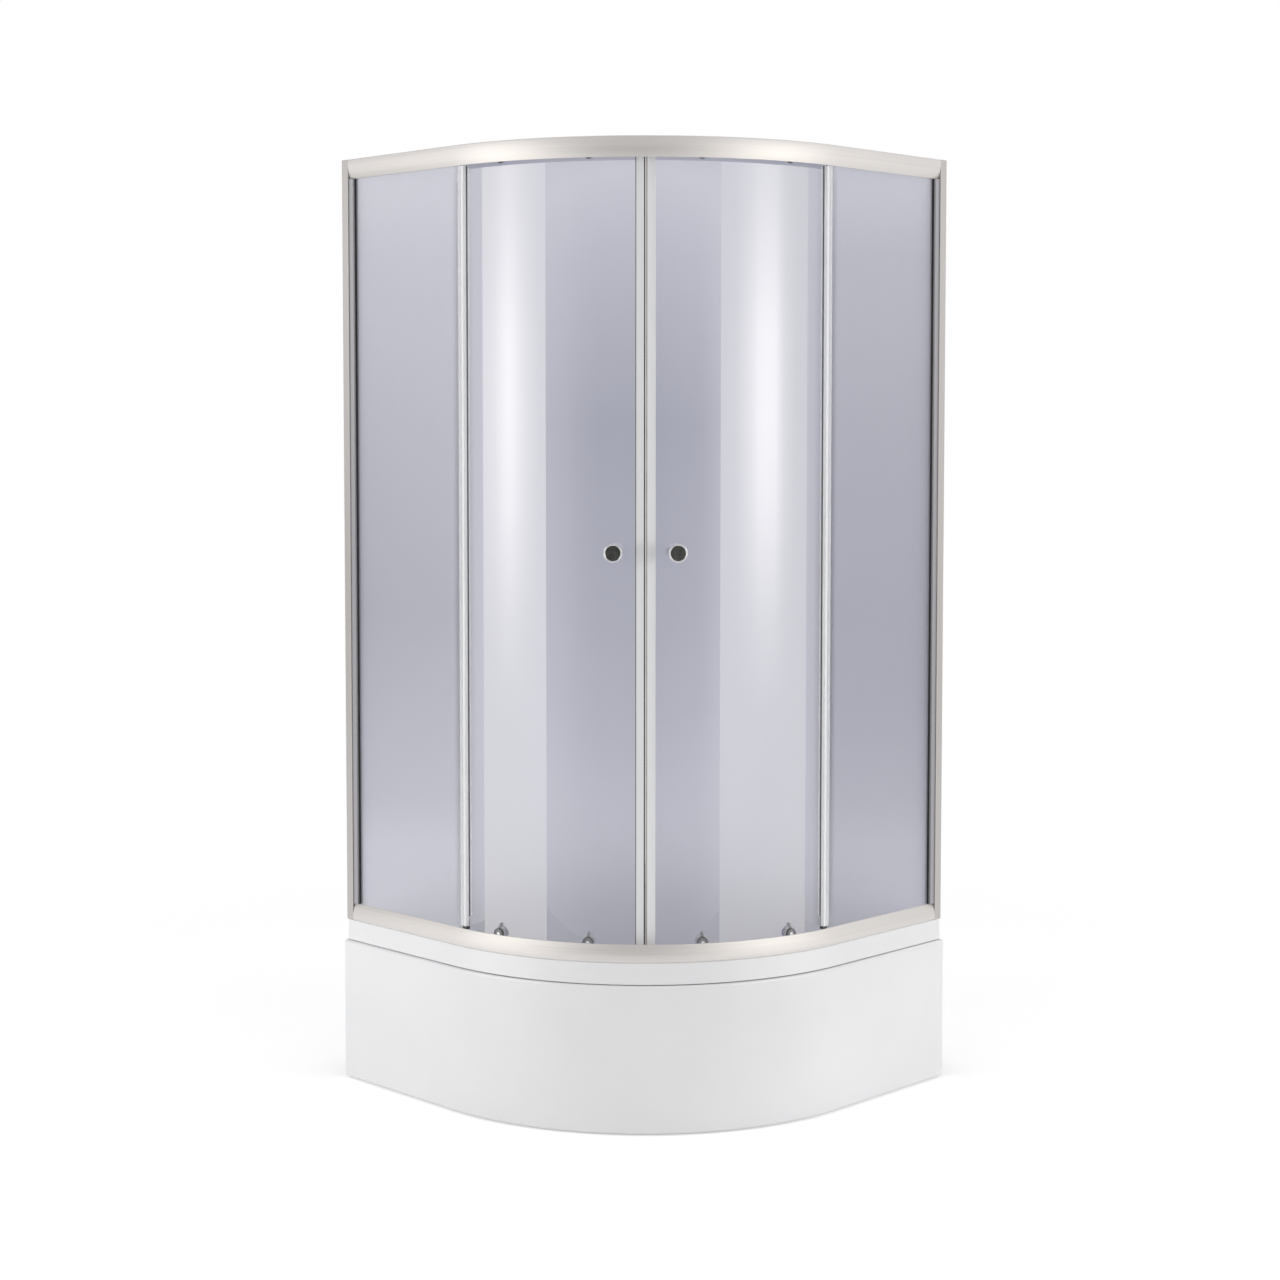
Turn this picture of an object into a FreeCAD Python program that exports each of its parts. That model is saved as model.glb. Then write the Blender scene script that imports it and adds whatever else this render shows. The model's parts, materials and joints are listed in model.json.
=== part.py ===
import FreeCAD, Part
import math
import os

# A corner shower cabin: a deep tray on a tube frame, and a glass screen with two curved sliding doors.
# The room walls are the planes x = -HALF and y = +HALF, the rounded front faces +x and -y, and z = 0 is
# the floor. The cabin is symmetric about the plane through the wall corner and the middle of the front.

# Overall sizes in millimetres
PLAN_SIDE = 900.0
FRONT_RADIUS = 550.0
TRAY_HEIGHT = 340.0
SCREEN_HEIGHT = 1600.0
SCREEN_INSET = 7.0

# Clearances
SEAT_GAP = 0.3
RUN_GAP = 0.8
PANE_PLAY = 0.9
PIN_PLAY = 0.3

# Glass
GLASS = 5.0
PANE_OVERRUN = 24.0
PANE_BITE = 15.0
DOOR_OVERLAP = 14.0
DOOR_BELOW_LEDGE = 1.6
DOOR_ABOVE_LEDGE = 2.4

# Rails: a convex skirt, a web, a partition behind the fixed panes and a ledge for the wheels
RAIL_WALL = 1.8
PARTITION_WALL = 1.5
RAIL_SETBACK = 6.5
RAIL_CROWN = 2.5
RAIL_EDGE = 2.0
TOP_RAIL_HEIGHT = 40.0
BOTTOM_RAIL_HEIGHT = 35.0
TOP_LEDGE = 20.0
BOTTOM_LEDGE = 18.8
PARTITION_REACH = 29.0
RAIL_LIP = 10.0
LEDGE_SHORT = 0.6
RAIL_END_GAP = 0.8

# Wall posts and the jambs that telescope in them
POST_WIDTH = 20.0
POST_DEPTH = 32.0
POST_WALL = 1.8
POST_PLAY = 0.3
WALL_HOLE = 6.5
WALL_HOLE_OUTER = 650.0
WALL_HOLE_INNER = 220.0
JAMB_WALL = 1.5
JAMB_TAIL = 14.0
JAMB_FACE = 13.0
JAMB_SLOT = 12.4
GASKET_HEAD = 2.5
GASKET_LEG = 8.0
GASKET_PROUD = 1.3

# Rollers
WHEEL_SWAY = 8.0
WHEEL_WIDTH = 5.0
WHEEL_CHAMFER = 0.6
TOP_WHEEL_RADIUS = 8.0
BOTTOM_WHEEL_RADIUS = 11.0
LEAD_ROLLER = 112.0
TRAIL_ROLLER = 306.0
AXLE_RADIUS = 2.5
AXLE_HEAD_RADIUS = 4.0
AXLE_HEAD = 1.3
AXLE_SINK = 0.4
HANGER_RADIUS = 7.0
HANGER_THICKNESS = 4.2
HANGER_SWAY = 2.8
HANGER_DROP = 20.0
BOLT_RADIUS = 2.5
BOLT_HEAD_RADIUS = 5.0
BOLT_HEAD = 1.6
PLATE_THICKNESS = 4.2
PLATE_WIDTH = 20.0
PLATE_TOP = 14.0
PLATE_CORNER = 6.0
NUT_RADIUS = 6.0
NUT_HEIGHT = 4.0

# Release buttons on the lower rollers
BUTTON_WIDTH = 5.0
BUTTON_FOOT_WIDTH = 7.0
BUTTON_FOOT = 2.0
BUTTON_STAND = 7.0
BUTTON_TRAVEL = 4.0
BUTTON_COVER = 1.8
BUTTON_INSET = 0.5

# Door seals
SEAM_GAP = 0.8
SEAL_NOSE = 9.0
SEAL_LEG = 10.0
SEAL_WALL = 1.2
SEAL_TRIM = 1.0
SEAL_CLEAR = 0.2
MAGNET_WIDTH = 2.8
MAGNET_DEPTH = 6.0
MAGNET_COVER = 0.7
TRAIL_NOSE = 3.0
TRAIL_LEG = 8.0
TRAIL_FIN = 8.5
EDGE_SEAL_FIN = 8.0
EDGE_SEAL_LEG = 14.0
EDGE_SEAL_NOSE = 2.0
EDGE_SEAL_FOOT = 25.0
CLIP_LEG = 8.0
CLIP_NOSE = 5.0
CLIP_WALL = 1.4
CLIP_HEIGHT = 5.0

# Knobs
KNOB_FROM_SEAM = 60.0
KNOB_ABOVE_TRAY = 800.0
KNOB_LENGTH = 30.0
KNOB_RADIUS = 18.5
KNOB_FOOT_RADIUS = 14.0
KNOB_NECK_RADIUS = 12.5
KNOB_NECK = 9.0
KNOB_RIM = 6.0
KNOB_ROUND = 1.5
KNOB_RING = 2.0
KNOB_DISH = 0.8
INNER_KNOB_LENGTH = 22.0
INNER_KNOB_RADIUS = 15.0
STUD_RADIUS = 3.0
STUD_DEPTH = 9.0
KNOB_HOLE_RADIUS = 6.0

# Rail end blocks, post screws and door stops
BLOCK_REACH = 30.0
BLOCK_GAP = 0.4
SCREW_RADIUS = 2.0
SCREW_HEAD_RADIUS = 4.0
SCREW_HEAD = 2.2
SCREW_DEPTH = 10.0
STOP_FROM_WALL = 170.0
STOP_LENGTH = 16.0

# Tray basin
SHELL = 5.0
RIM_TOP_INSET = 7.0
RIM_FOOT_INSET = 4.0
RIM_DROP = 42.0
RIM_CORNER = 8.0
RIM_WIDTH = 62.0
WALL_RIM = 55.0
BASIN_LIFT = 130.0
BASIN_DRAFT = 28.0
BASIN_CORNER = 70.0
FLOOR_FILLET = 32.0
MOUTH_FILLET = 9.0

# Waste
DRAIN_FROM_WALLS = 230.0
DRAIN_RADIUS = 45.0
SUMP_DEPTH = 8.0
SUMP_RADIUS = 95.0
SUMP_FLAT = 62.0
FLANGE_RADIUS = 57.0
FLANGE_BORE = 40.0
FLANGE_THICKNESS = 3.0
COVER_RADIUS = 52.0
COVER_RISE = 7.0
COVER_EDGE = 2.0
COVER_PLUG_RADIUS = 38.0
COVER_PLUG = 15.0
COVER_WALL = 2.0
GASKET_THICKNESS = 2.0
TRAP_RADIUS = 50.0
TRAP_COLLAR = 5.0
TRAP_DEPTH = 65.0
TRAP_WALL = 3.5
TRAP_ROUND = 18.0
OUTLET_RADIUS = 20.0
OUTLET_WALL = 2.5
OUTLET_DROP = 40.0
OUTLET_FREE = 50.0
SPIGOT_RADIUS = 24.0
OUTLET_NUT_RADIUS = 29.0
OUTLET_NUT = 18.0
NUT_LUGS = 12
NUT_LUG_RADIUS = 2.5

# Apron panel
APRON_LIFT = 4.0
APRON_WALL = 4.0
APRON_ROUND = 6.0
APRON_SHADOW_GAP = 2.0
APRON_FLANGE = 24.0

# Base board, tube frame and feet
BOARD = 12.0
BOARD_INSET = 145.0
BOARD_DRAIN_HOLE = 105.0
TUBE = 25.0
TUBE_WALL = 2.0
TUBE_ROUND = 3.0
TUBE_SPREAD = 150.0
TUBE_FRONT_GAP = 78.0
TUBE_REAR_GAP = 236.0
TUBE_SIDE_GAP = 186.0
LEG_FROM_END = 20.0
LEG_RADIUS = 6.0
LEG_TOP_GAP = 5.0
CAP_DEPTH = 10.0
CAP_PLATE = 2.5
LEG_NUT_RADIUS = 11.0
LEG_NUT = 10.0
FOOT_RADIUS = 24.0
FOOT_HEIGHT = 20.0
FOOT_NECK_RADIUS = 11.0
FOOT_LIP = 6.0
FOOT_SOCKET = 12.0
STRAP_WIDTH = 25.0
STRAP = 3.0
STRAP_TAIL = 16.0
STRAP_SEAT = 14.0
STRAP_BELOW_NUT = 5.0

# Derived places. A depth is measured inwards from the outer face of the rails.
UP = FreeCAD.Vector(0, 0, 1)
ORIGIN = FreeCAD.Vector(0, 0, 0)
QUARTER = 90.0
HALF_QUARTER = 45.0
FULL = 360.0
SAME_POINT = 0.001
NIP = 1 - math.sqrt(0.5)
TOP_RAIL = "top"
BOTTOM_RAIL = "bottom"
HALF = PLAN_SIDE / 2
STRAIGHT = PLAN_SIDE - FRONT_RADIUS
ARC_CENTRE = FreeCAD.Vector(STRAIGHT - HALF, HALF - STRAIGHT, 0)
RAIL_RADIUS = FRONT_RADIUS - SCREEN_INSET
SCREEN_TOP = TRAY_HEIGHT + SCREEN_HEIGHT

PANE_DEPTH = RAIL_SETBACK + RAIL_WALL + PANE_PLAY
PARTITION_DEPTH = PANE_DEPTH + GLASS + PANE_PLAY
CHANNEL_DEPTH = PARTITION_DEPTH + PARTITION_WALL
WHEEL_DEPTH = CHANNEL_DEPTH + WHEEL_SWAY
LEDGE_END = WHEEL_DEPTH + WHEEL_WIDTH - LEDGE_SHORT
PLATE_DEPTH = WHEEL_DEPTH + WHEEL_WIDTH + RUN_GAP
DOOR_DEPTH = PLATE_DEPTH + PLATE_THICKNESS + SEAT_GAP
HANGER_DEPTH = DOOR_DEPTH + GLASS + SEAT_GAP
RAIL_DEPTH = HANGER_DEPTH + HANGER_THICKNESS + HANGER_SWAY + RAIL_WALL

DOOR_OUTER = RAIL_RADIUS - DOOR_DEPTH
DOOR_INNER = DOOR_OUTER - GLASS
WHEEL_OUTER = RAIL_RADIUS - WHEEL_DEPTH
WHEEL_INNER = WHEEL_OUTER - WHEEL_WIDTH

SKIRT_TOP = TRAY_HEIGHT + BOTTOM_RAIL_HEIGHT
SKIRT_FOOT = SCREEN_TOP - TOP_RAIL_HEIGHT
TOP_TRACK = SCREEN_TOP - TOP_LEDGE
BOTTOM_TRACK = TRAY_HEIGHT + BOTTOM_LEDGE + RAIL_WALL
TOP_AXLE = TOP_TRACK + SEAT_GAP + TOP_WHEEL_RADIUS
BOTTOM_AXLE = BOTTOM_TRACK + SEAT_GAP + BOTTOM_WHEEL_RADIUS
DOOR_TOP = TOP_TRACK - RAIL_WALL - DOOR_BELOW_LEDGE
DOOR_FOOT = BOTTOM_TRACK + DOOR_ABOVE_LEDGE
HANGER_BOLT = TOP_AXLE - HANGER_DROP
KNOB_Z = TRAY_HEIGHT + KNOB_ABOVE_TRAY
PLATE_HEAD = BOTTOM_AXLE + PLATE_TOP
BASIN_FLOOR = BASIN_LIFT
BASIN_DEPTH = TRAY_HEIGHT - BASIN_LIFT
BOARD_TOP = BASIN_FLOOR - SHELL
TUBE_TOP = BOARD_TOP - BOARD
TUBE_FOOT = TUBE_TOP - TUBE
CORNER_REACH = HALF * math.sqrt(2)
FRONT_REACH = FRONT_RADIUS - ARC_CENTRE.Length
TUBE_FRONT = FRONT_REACH - TUBE_FRONT_GAP
TUBE_REAR = CORNER_REACH - TUBE_REAR_GAP
TUBE_SIDE = CORNER_REACH - TUBE_SIDE_GAP
DRAIN = FreeCAD.Vector(DRAIN_FROM_WALLS - HALF, HALF - DRAIN_FROM_WALLS, BASIN_FLOOR - SUMP_DEPTH)


def vec(x, y, z):
    return FreeCAD.Vector(x, y, z)


def wire(points):
    """Closed wire through the points; a pair (through, end) makes that stretch an arc."""
    edges = []
    here = points[0]
    for step in points[1:] + [points[0]]:
        if isinstance(step, tuple):
            through, end = step
            edges.append(Part.Arc(here, through, end).toShape())
        elif not here.isEqual(step, SAME_POINT):
            end = step
            edges.append(Part.LineSegment(here, end).toShape())
        here = end
    return Part.Wire(edges)


def face(points):
    return Part.Face(wire(points))


def mirrored(shape):
    """The same piece on the other side of the cabin."""
    return shape.mirror(ORIGIN, vec(1, 1, 0))


def save(node, *solids):
    shape = solids[0] if len(solids) == 1 else Part.makeCompound(list(solids))
    shape.exportStep("parts/" + node + ".step")


def save_pair(node, *right_solids):
    save(node + "_right", *right_solids)
    save(node + "_left", *[mirrored(solid) for solid in right_solids])


def joined(first, *others):
    return first.fuse(list(others)).removeSplitter()


def box(low, high):
    size = high.sub(low)
    return Part.makeBox(size.x, size.y, size.z, low)


def turned_x(points):
    """Solid of revolution about the X axis from (along, radius) points."""
    return face([vec(s, 0, r) for s, r in points]).revolve(ORIGIN, vec(1, 0, 0), FULL)


def turned_z(points):
    """Solid of revolution about the Z axis from (radius, height) points."""
    return face([vec(r, 0, z) for r, z in points]).revolve(ORIGIN, UP, FULL)


def pin(radius, start, end, z):
    """Cylinder along the radius, in the door's own frame."""
    return Part.makeCylinder(radius, end - start, vec(start, 0, z), vec(1, 0, 0))


def arc_angle(length):
    """Angle that an arc length takes on the outer face of the door glass."""
    return math.degrees(length / DOOR_OUTER)


def from_seam(length):
    """Angle from the right tangent point for a distance from the seam."""
    return HALF_QUARTER - arc_angle(length)


def on_arc(shape, angle):
    """Carry a piece built on +X about the origin to its angle on the round front."""
    placed = shape.copy()
    placed.rotate(ORIGIN, UP, -angle)
    placed.translate(ARC_CENTRE)
    return placed


def bent_bar(inner, outer, start, end, low, high):
    """Bar of rectangular section bent about the arc centre."""
    section = face([vec(inner, 0, low), vec(outer, 0, low), vec(outer, 0, high), vec(inner, 0, high)])
    return on_arc(section.revolve(ORIGIN, UP, start - end), start)


def rail_point(depth, z):
    return ARC_CENTRE + vec(RAIL_RADIUS - depth, 0, z)


def side_point(depth, from_wall, z=0.0):
    """Point on the right straight side, by depth and distance from the back wall."""
    return vec(HALF - SCREEN_INSET - depth, HALF - from_wall, z)


def sweep_front(section, end_gap):
    """Run a section along the right straight, the round front and the left straight."""
    bend = section.revolve(ARC_CENTRE, UP, -QUARTER)
    run = section.extrude(vec(0, STRAIGHT - end_gap, 0))
    return joined(bend, run, mirrored(run))


def rail(base, direction, height, ledge):
    """Rail profile; heights are measured from the web's outer face in the given direction."""
    def at(depth, h):
        return rail_point(depth, base + direction * h)

    edge_mid = RAIL_EDGE * NIP
    skirt_mid = (height + RAIL_EDGE) / 2
    crown = RAIL_SETBACK / 2 - RAIL_CROWN
    section = face([
        at(RAIL_EDGE, 0),
        at(RAIL_DEPTH, 0),
        at(RAIL_DEPTH, RAIL_LIP),
        at(RAIL_DEPTH - RAIL_WALL, RAIL_LIP),
        at(RAIL_DEPTH - RAIL_WALL, RAIL_WALL),
        at(CHANNEL_DEPTH, RAIL_WALL),
        at(CHANNEL_DEPTH, ledge),
        at(LEDGE_END, ledge),
        at(LEDGE_END, ledge + RAIL_WALL),
        at(CHANNEL_DEPTH, ledge + RAIL_WALL),
        at(CHANNEL_DEPTH, PARTITION_REACH),
        at(PARTITION_DEPTH, PARTITION_REACH),
        at(PARTITION_DEPTH, RAIL_WALL),
        at(RAIL_WALL, RAIL_WALL),
        (at(crown + RAIL_WALL, skirt_mid), at(RAIL_SETBACK + RAIL_WALL, height)),
        at(RAIL_SETBACK, height),
        (at(crown, skirt_mid), at(0, RAIL_EDGE)),
        (at(edge_mid, edge_mid), at(RAIL_EDGE, 0)),
    ])
    return sweep_front(section, POST_WIDTH + RAIL_END_GAP)


def wall_post():
    outline = [
        side_point(0, 0, TRAY_HEIGHT),
        side_point(POST_DEPTH, 0, TRAY_HEIGHT),
        side_point(POST_DEPTH, POST_WIDTH, TRAY_HEIGHT),
        side_point(POST_DEPTH - POST_WALL, POST_WIDTH, TRAY_HEIGHT),
        side_point(POST_DEPTH - POST_WALL, POST_WALL, TRAY_HEIGHT),
        side_point(POST_WALL, POST_WALL, TRAY_HEIGHT),
        side_point(POST_WALL, POST_WIDTH, TRAY_HEIGHT),
        side_point(0, POST_WIDTH, TRAY_HEIGHT),
    ]
    post = face(outline).extrude(vec(0, 0, SCREEN_HEIGHT))
    middle = TRAY_HEIGHT + SCREEN_HEIGHT / 2
    for offset in (-WALL_HOLE_OUTER, -WALL_HOLE_INNER, WALL_HOLE_INNER, WALL_HOLE_OUTER):
        centre = side_point(POST_DEPTH / 2, POST_WIDTH, middle + offset)
        post = post.cut(Part.makeCylinder(WALL_HOLE / 2, POST_WIDTH, centre, vec(0, 1, 0)))
    for z in (block_middle(TOP_RAIL), block_middle(BOTTOM_RAIL)):
        centre = side_point(POST_DEPTH, POST_WIDTH / 2, z)
        post = post.cut(Part.makeCylinder(SCREW_RADIUS + PIN_PLAY, 2 * POST_WALL, centre, vec(1, 0, 0)))
    return post


def glass_jamb():
    """Jamb profile: a tail inside the post and a slot with a flat front for the fixed pane."""
    outer = POST_WALL + POST_PLAY
    inner = POST_DEPTH - POST_WALL - POST_PLAY
    tail = POST_WIDTH - JAMB_TAIL
    front = POST_WIDTH + JAMB_FACE
    slot = front - JAMB_SLOT
    web = slot - JAMB_WALL
    lip = RAIL_SETBACK + RAIL_WALL

    def at(depth, from_wall):
        return side_point(depth, from_wall, SKIRT_TOP)

    section = face([
        at(outer, tail),
        at(outer, front),
        at(lip, front),
        at(lip, slot),
        at(PARTITION_DEPTH, slot),
        at(PARTITION_DEPTH, front),
        at(CHANNEL_DEPTH, front),
        at(CHANNEL_DEPTH, slot),
        at(inner, slot),
        at(inner, tail),
        at(inner - JAMB_WALL, tail),
        at(inner - JAMB_WALL, web),
        at(outer + JAMB_WALL, web),
        at(outer + JAMB_WALL, tail),
    ])
    return section.extrude(vec(0, 0, SKIRT_FOOT - SKIRT_TOP))


def jamb_gasket():
    """Dark strip between the jamb's lip and the pane: a leg in the slot and a head outside it."""
    front = POST_WIDTH + JAMB_FACE
    lip = RAIL_SETBACK + RAIL_WALL

    def at(depth, from_wall):
        return side_point(depth, from_wall, SKIRT_TOP)

    section = face([
        at(lip, front - GASKET_LEG),
        at(lip, front),
        at(lip - GASKET_PROUD, front),
        at(lip - GASKET_PROUD, front + GASKET_HEAD / 2),
        at(PANE_DEPTH, front + GASKET_HEAD),
        at(PANE_DEPTH, front - GASKET_LEG),
    ])
    return section.extrude(vec(0, 0, SKIRT_FOOT - SKIRT_TOP))


def fixed_pane():
    low = side_point(PANE_DEPTH + GLASS, STRAIGHT + PANE_OVERRUN, SKIRT_TOP - PANE_BITE)
    back = POST_WIDTH + JAMB_FACE - JAMB_SLOT + PANE_PLAY
    high = side_point(PANE_DEPTH, back, SKIRT_FOOT + PANE_BITE)
    return box(low, high)


def edge_channel(leg, nose, wall, low, high):
    """Channel on the free edge of the fixed pane."""
    edge = STRAIGHT + PANE_OVERRUN
    outer = PANE_DEPTH - SEAL_CLEAR - wall
    inner = PANE_DEPTH + GLASS + SEAL_CLEAR + wall

    def at(depth, from_wall):
        return side_point(depth, from_wall, low)

    section = face([
        at(outer, edge - leg),
        at(outer, edge + nose),
        at(inner, edge + nose),
        at(inner, edge - leg),
        at(inner - wall, edge - leg),
        at(inner - wall, edge + SEAL_CLEAR),
        at(outer + wall, edge + SEAL_CLEAR),
        at(outer + wall, edge - leg),
    ])
    return section.extrude(vec(0, 0, high - low))


def edge_seal():
    """Clear seal on the pane's free edge; its fin towards the door stays above the rollers."""
    foot = SKIRT_TOP + CLIP_HEIGHT + SEAT_GAP
    head = SKIRT_FOOT - SEAL_TRIM
    channel = edge_channel(EDGE_SEAL_LEG, EDGE_SEAL_NOSE, SEAL_WALL, foot, head)
    tip = STRAIGHT + PANE_OVERRUN + EDGE_SEAL_NOSE
    root = PANE_DEPTH + GLASS + SEAL_CLEAR
    fin_end = root + SEAL_WALL + EDGE_SEAL_FIN
    fin = box(side_point(fin_end, tip, SKIRT_TOP + EDGE_SEAL_FOOT), side_point(root, tip - SEAL_WALL, head))
    return joined(channel, fin)


def block_heights(rail_name):
    if rail_name == TOP_RAIL:
        return TOP_TRACK + BLOCK_GAP, SCREEN_TOP - RAIL_WALL - BLOCK_GAP
    return TRAY_HEIGHT + RAIL_WALL + BLOCK_GAP, TRAY_HEIGHT + BOTTOM_LEDGE - BLOCK_GAP


def block_middle(rail_name):
    return sum(block_heights(rail_name)) / 2


def end_block(rail_name):
    """Plastic block that ties a rail's end to the wall post."""
    low_z, high_z = block_heights(rail_name)
    inner = POST_DEPTH - POST_WALL - BLOCK_GAP
    low = side_point(inner, POST_WIDTH + BLOCK_REACH, low_z)
    high = side_point(CHANNEL_DEPTH + BLOCK_GAP, POST_WALL + BLOCK_GAP, high_z)
    hole = side_point(inner, POST_WIDTH / 2, block_middle(rail_name))
    bore = Part.makeCylinder(SCREW_RADIUS, SCREW_DEPTH, hole, vec(1, 0, 0))
    return box(low, high).cut(bore)


def post_screw(rail_name):
    seat = side_point(POST_DEPTH, POST_WIDTH / 2, block_middle(rail_name))
    shank = Part.makeCylinder(SCREW_RADIUS, SCREW_DEPTH, seat, vec(1, 0, 0))
    head = Part.makeCylinder(SCREW_HEAD_RADIUS, SCREW_HEAD, seat, vec(-1, 0, 0))
    return joined(shank, head)


def door_stop():
    """Rubber block on the top ledge that the trailing wheel meets when the door is open."""
    low = side_point(LEDGE_END, STOP_FROM_WALL + STOP_LENGTH, TOP_TRACK)
    high = side_point(CHANNEL_DEPTH, STOP_FROM_WALL, TOP_TRACK + 2 * TOP_WHEEL_RADIUS)
    return box(low, high)


def door_glass(roller_angles):
    start = -arc_angle(DOOR_OVERLAP)
    end = from_seam(SEAM_GAP / 2 + SEAL_NOSE + SEAL_CLEAR)
    pane = bent_bar(DOOR_INNER, DOOR_OUTER, start, end, DOOR_FOOT, DOOR_TOP)
    span = (DOOR_INNER - GLASS, DOOR_OUTER + GLASS)
    holes = [on_arc(pin(KNOB_HOLE_RADIUS, *span, KNOB_Z), from_seam(KNOB_FROM_SEAM))]
    for angle in roller_angles:
        holes.append(on_arc(pin(BOLT_RADIUS + PIN_PLAY, *span, HANGER_BOLT), angle))
        holes.append(on_arc(pin(AXLE_RADIUS + PIN_PLAY, *span, BOTTOM_AXLE), angle))
    return pane.cut(holes)


def door_channel(edge, outward, leg, nose):
    """Channel over a door edge; outward is the turning sense from the glass to the nose."""
    low = DOOR_FOOT + SEAL_TRIM
    high = DOOR_TOP - SEAL_TRIM
    tip = edge + outward * arc_angle(SEAL_CLEAR + nose)
    root = edge - outward * arc_angle(leg)
    clear = edge + outward * arc_angle(SEAL_CLEAR)
    inner = DOOR_INNER - SEAL_CLEAR
    outer = DOOR_OUTER + SEAL_CLEAR

    def bar(inside, outside, first, last):
        return bent_bar(inside, outside, min(first, last), max(first, last), low, high)

    return joined(
        bar(inner - SEAL_WALL, outer + SEAL_WALL, clear, tip),
        bar(outer, outer + SEAL_WALL, root, clear),
        bar(inner - SEAL_WALL, inner, root, clear),
    )


def magnet_bar(play):
    """Magnet strip close behind the tip of its seal; play widens it to the pocket that holds it."""
    centre = from_seam(SEAM_GAP / 2 + MAGNET_COVER + MAGNET_WIDTH / 2)
    swing = arc_angle(MAGNET_WIDTH / 2 + play)
    middle = (DOOR_INNER + DOOR_OUTER) / 2
    half = MAGNET_DEPTH / 2 + play
    low = DOOR_FOOT + SEAL_TRIM
    high = DOOR_TOP - SEAL_TRIM
    return bent_bar(middle - half, middle + half, centre - swing, centre + swing, low, high)


def magnetic_seal():
    edge = from_seam(SEAM_GAP / 2 + SEAL_NOSE + SEAL_CLEAR)
    channel = door_channel(edge, 1, SEAL_LEG, SEAL_NOSE)
    return channel.cut(magnet_bar(SEAL_CLEAR))


def trailing_seal():
    edge = -arc_angle(DOOR_OVERLAP)
    channel = door_channel(edge, -1, TRAIL_LEG, TRAIL_NOSE)
    root = DOOR_OUTER + SEAL_CLEAR
    tip = edge - arc_angle(SEAL_CLEAR + TRAIL_NOSE)
    # The fin stays clear of both rails and of the rollers that run beside them.
    fin = bent_bar(root, root + TRAIL_FIN, tip, tip + arc_angle(SEAL_WALL), SKIRT_TOP + EDGE_SEAL_FOOT,
                   SKIRT_FOOT - EDGE_SEAL_FOOT)
    return joined(channel, fin)


def knob(length, radius):
    """Turned knob from its foot on the glass: a concave neck, a flared head and a dished face."""
    flare = length - KNOB_RIM
    ring = radius - KNOB_ROUND
    dish = ring - KNOB_RING
    bend = KNOB_ROUND * NIP
    section = face([
        vec(0, 0, 0),
        vec(0, 0, KNOB_FOOT_RADIUS),
        (vec(KNOB_NECK / 2, 0, KNOB_NECK_RADIUS), vec(KNOB_NECK, 0, KNOB_NECK_RADIUS)),
        vec(flare, 0, radius),
        vec(length - KNOB_ROUND, 0, radius),
        (vec(length - bend, 0, radius - bend), vec(length, 0, ring)),
        vec(length, 0, dish),
        vec(length - KNOB_DISH, 0, dish - KNOB_DISH),
        vec(length - KNOB_DISH, 0, 0),
    ])
    turned = section.revolve(ORIGIN, vec(1, 0, 0), FULL)
    return turned.cut(Part.makeCylinder(STUD_RADIUS, STUD_DEPTH, ORIGIN, vec(1, 0, 0)))


def outer_knob():
    body = knob(KNOB_LENGTH, KNOB_RADIUS)
    body.translate(vec(DOOR_OUTER + SEAT_GAP, 0, KNOB_Z))
    return on_arc(body, from_seam(KNOB_FROM_SEAM))


def inner_knob():
    body = knob(INNER_KNOB_LENGTH, INNER_KNOB_RADIUS)
    body.rotate(ORIGIN, UP, 2 * QUARTER)
    body.translate(vec(DOOR_INNER - SEAT_GAP, 0, KNOB_Z))
    return on_arc(body, from_seam(KNOB_FROM_SEAM))


def wheel(radius):
    """Roller with a chamfered tread and a counterbore for the axle's head."""
    bore = AXLE_RADIUS + PIN_PLAY
    counterbore = AXLE_HEAD_RADIUS + PIN_PLAY
    floor = WHEEL_WIDTH - AXLE_SINK - AXLE_HEAD - PIN_PLAY
    return turned_x([
        (0, bore),
        (0, radius - WHEEL_CHAMFER),
        (WHEEL_CHAMFER, radius),
        (WHEEL_WIDTH - WHEEL_CHAMFER, radius),
        (WHEEL_WIDTH, radius - WHEEL_CHAMFER),
        (WHEEL_WIDTH, counterbore),
        (floor, counterbore),
        (floor, bore),
    ])


def placed_wheel(radius, z, angle):
    body = wheel(radius)
    body.translate(vec(WHEEL_INNER, 0, z))
    return on_arc(body, angle)


def hanger(angle):
    """Upper roller hanger: a rounded plate on the inner face of the glass that carries the axle."""
    start = RAIL_RADIUS - HANGER_DEPTH - HANGER_THICKNESS
    plate = face([
        vec(start, -HANGER_RADIUS, HANGER_BOLT),
        (vec(start, 0, HANGER_BOLT - HANGER_RADIUS), vec(start, HANGER_RADIUS, HANGER_BOLT)),
        vec(start, HANGER_RADIUS, TOP_AXLE),
        (vec(start, 0, TOP_AXLE + HANGER_RADIUS), vec(start, -HANGER_RADIUS, TOP_AXLE)),
    ]).extrude(vec(HANGER_THICKNESS, 0, 0))
    end = start + HANGER_THICKNESS
    holes = [pin(AXLE_RADIUS, start, end, TOP_AXLE), pin(BOLT_RADIUS, start, end, HANGER_BOLT)]
    return on_arc(plate.cut(holes), angle)


def top_axle(angle):
    start = RAIL_RADIUS - HANGER_DEPTH - HANGER_THICKNESS
    head = WHEEL_OUTER - AXLE_SINK - AXLE_HEAD
    shank = pin(AXLE_RADIUS, start, head, TOP_AXLE)
    return on_arc(joined(shank, pin(AXLE_HEAD_RADIUS, head, head + AXLE_HEAD, TOP_AXLE)), angle)


def hanger_bolt(angle):
    start = RAIL_RADIUS - HANGER_DEPTH - HANGER_THICKNESS
    seat = DOOR_OUTER + SEAT_GAP / 2
    shank = pin(BOLT_RADIUS, start, seat, HANGER_BOLT)
    return on_arc(joined(shank, pin(BOLT_HEAD_RADIUS, seat, seat + BOLT_HEAD, HANGER_BOLT)), angle)


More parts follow.
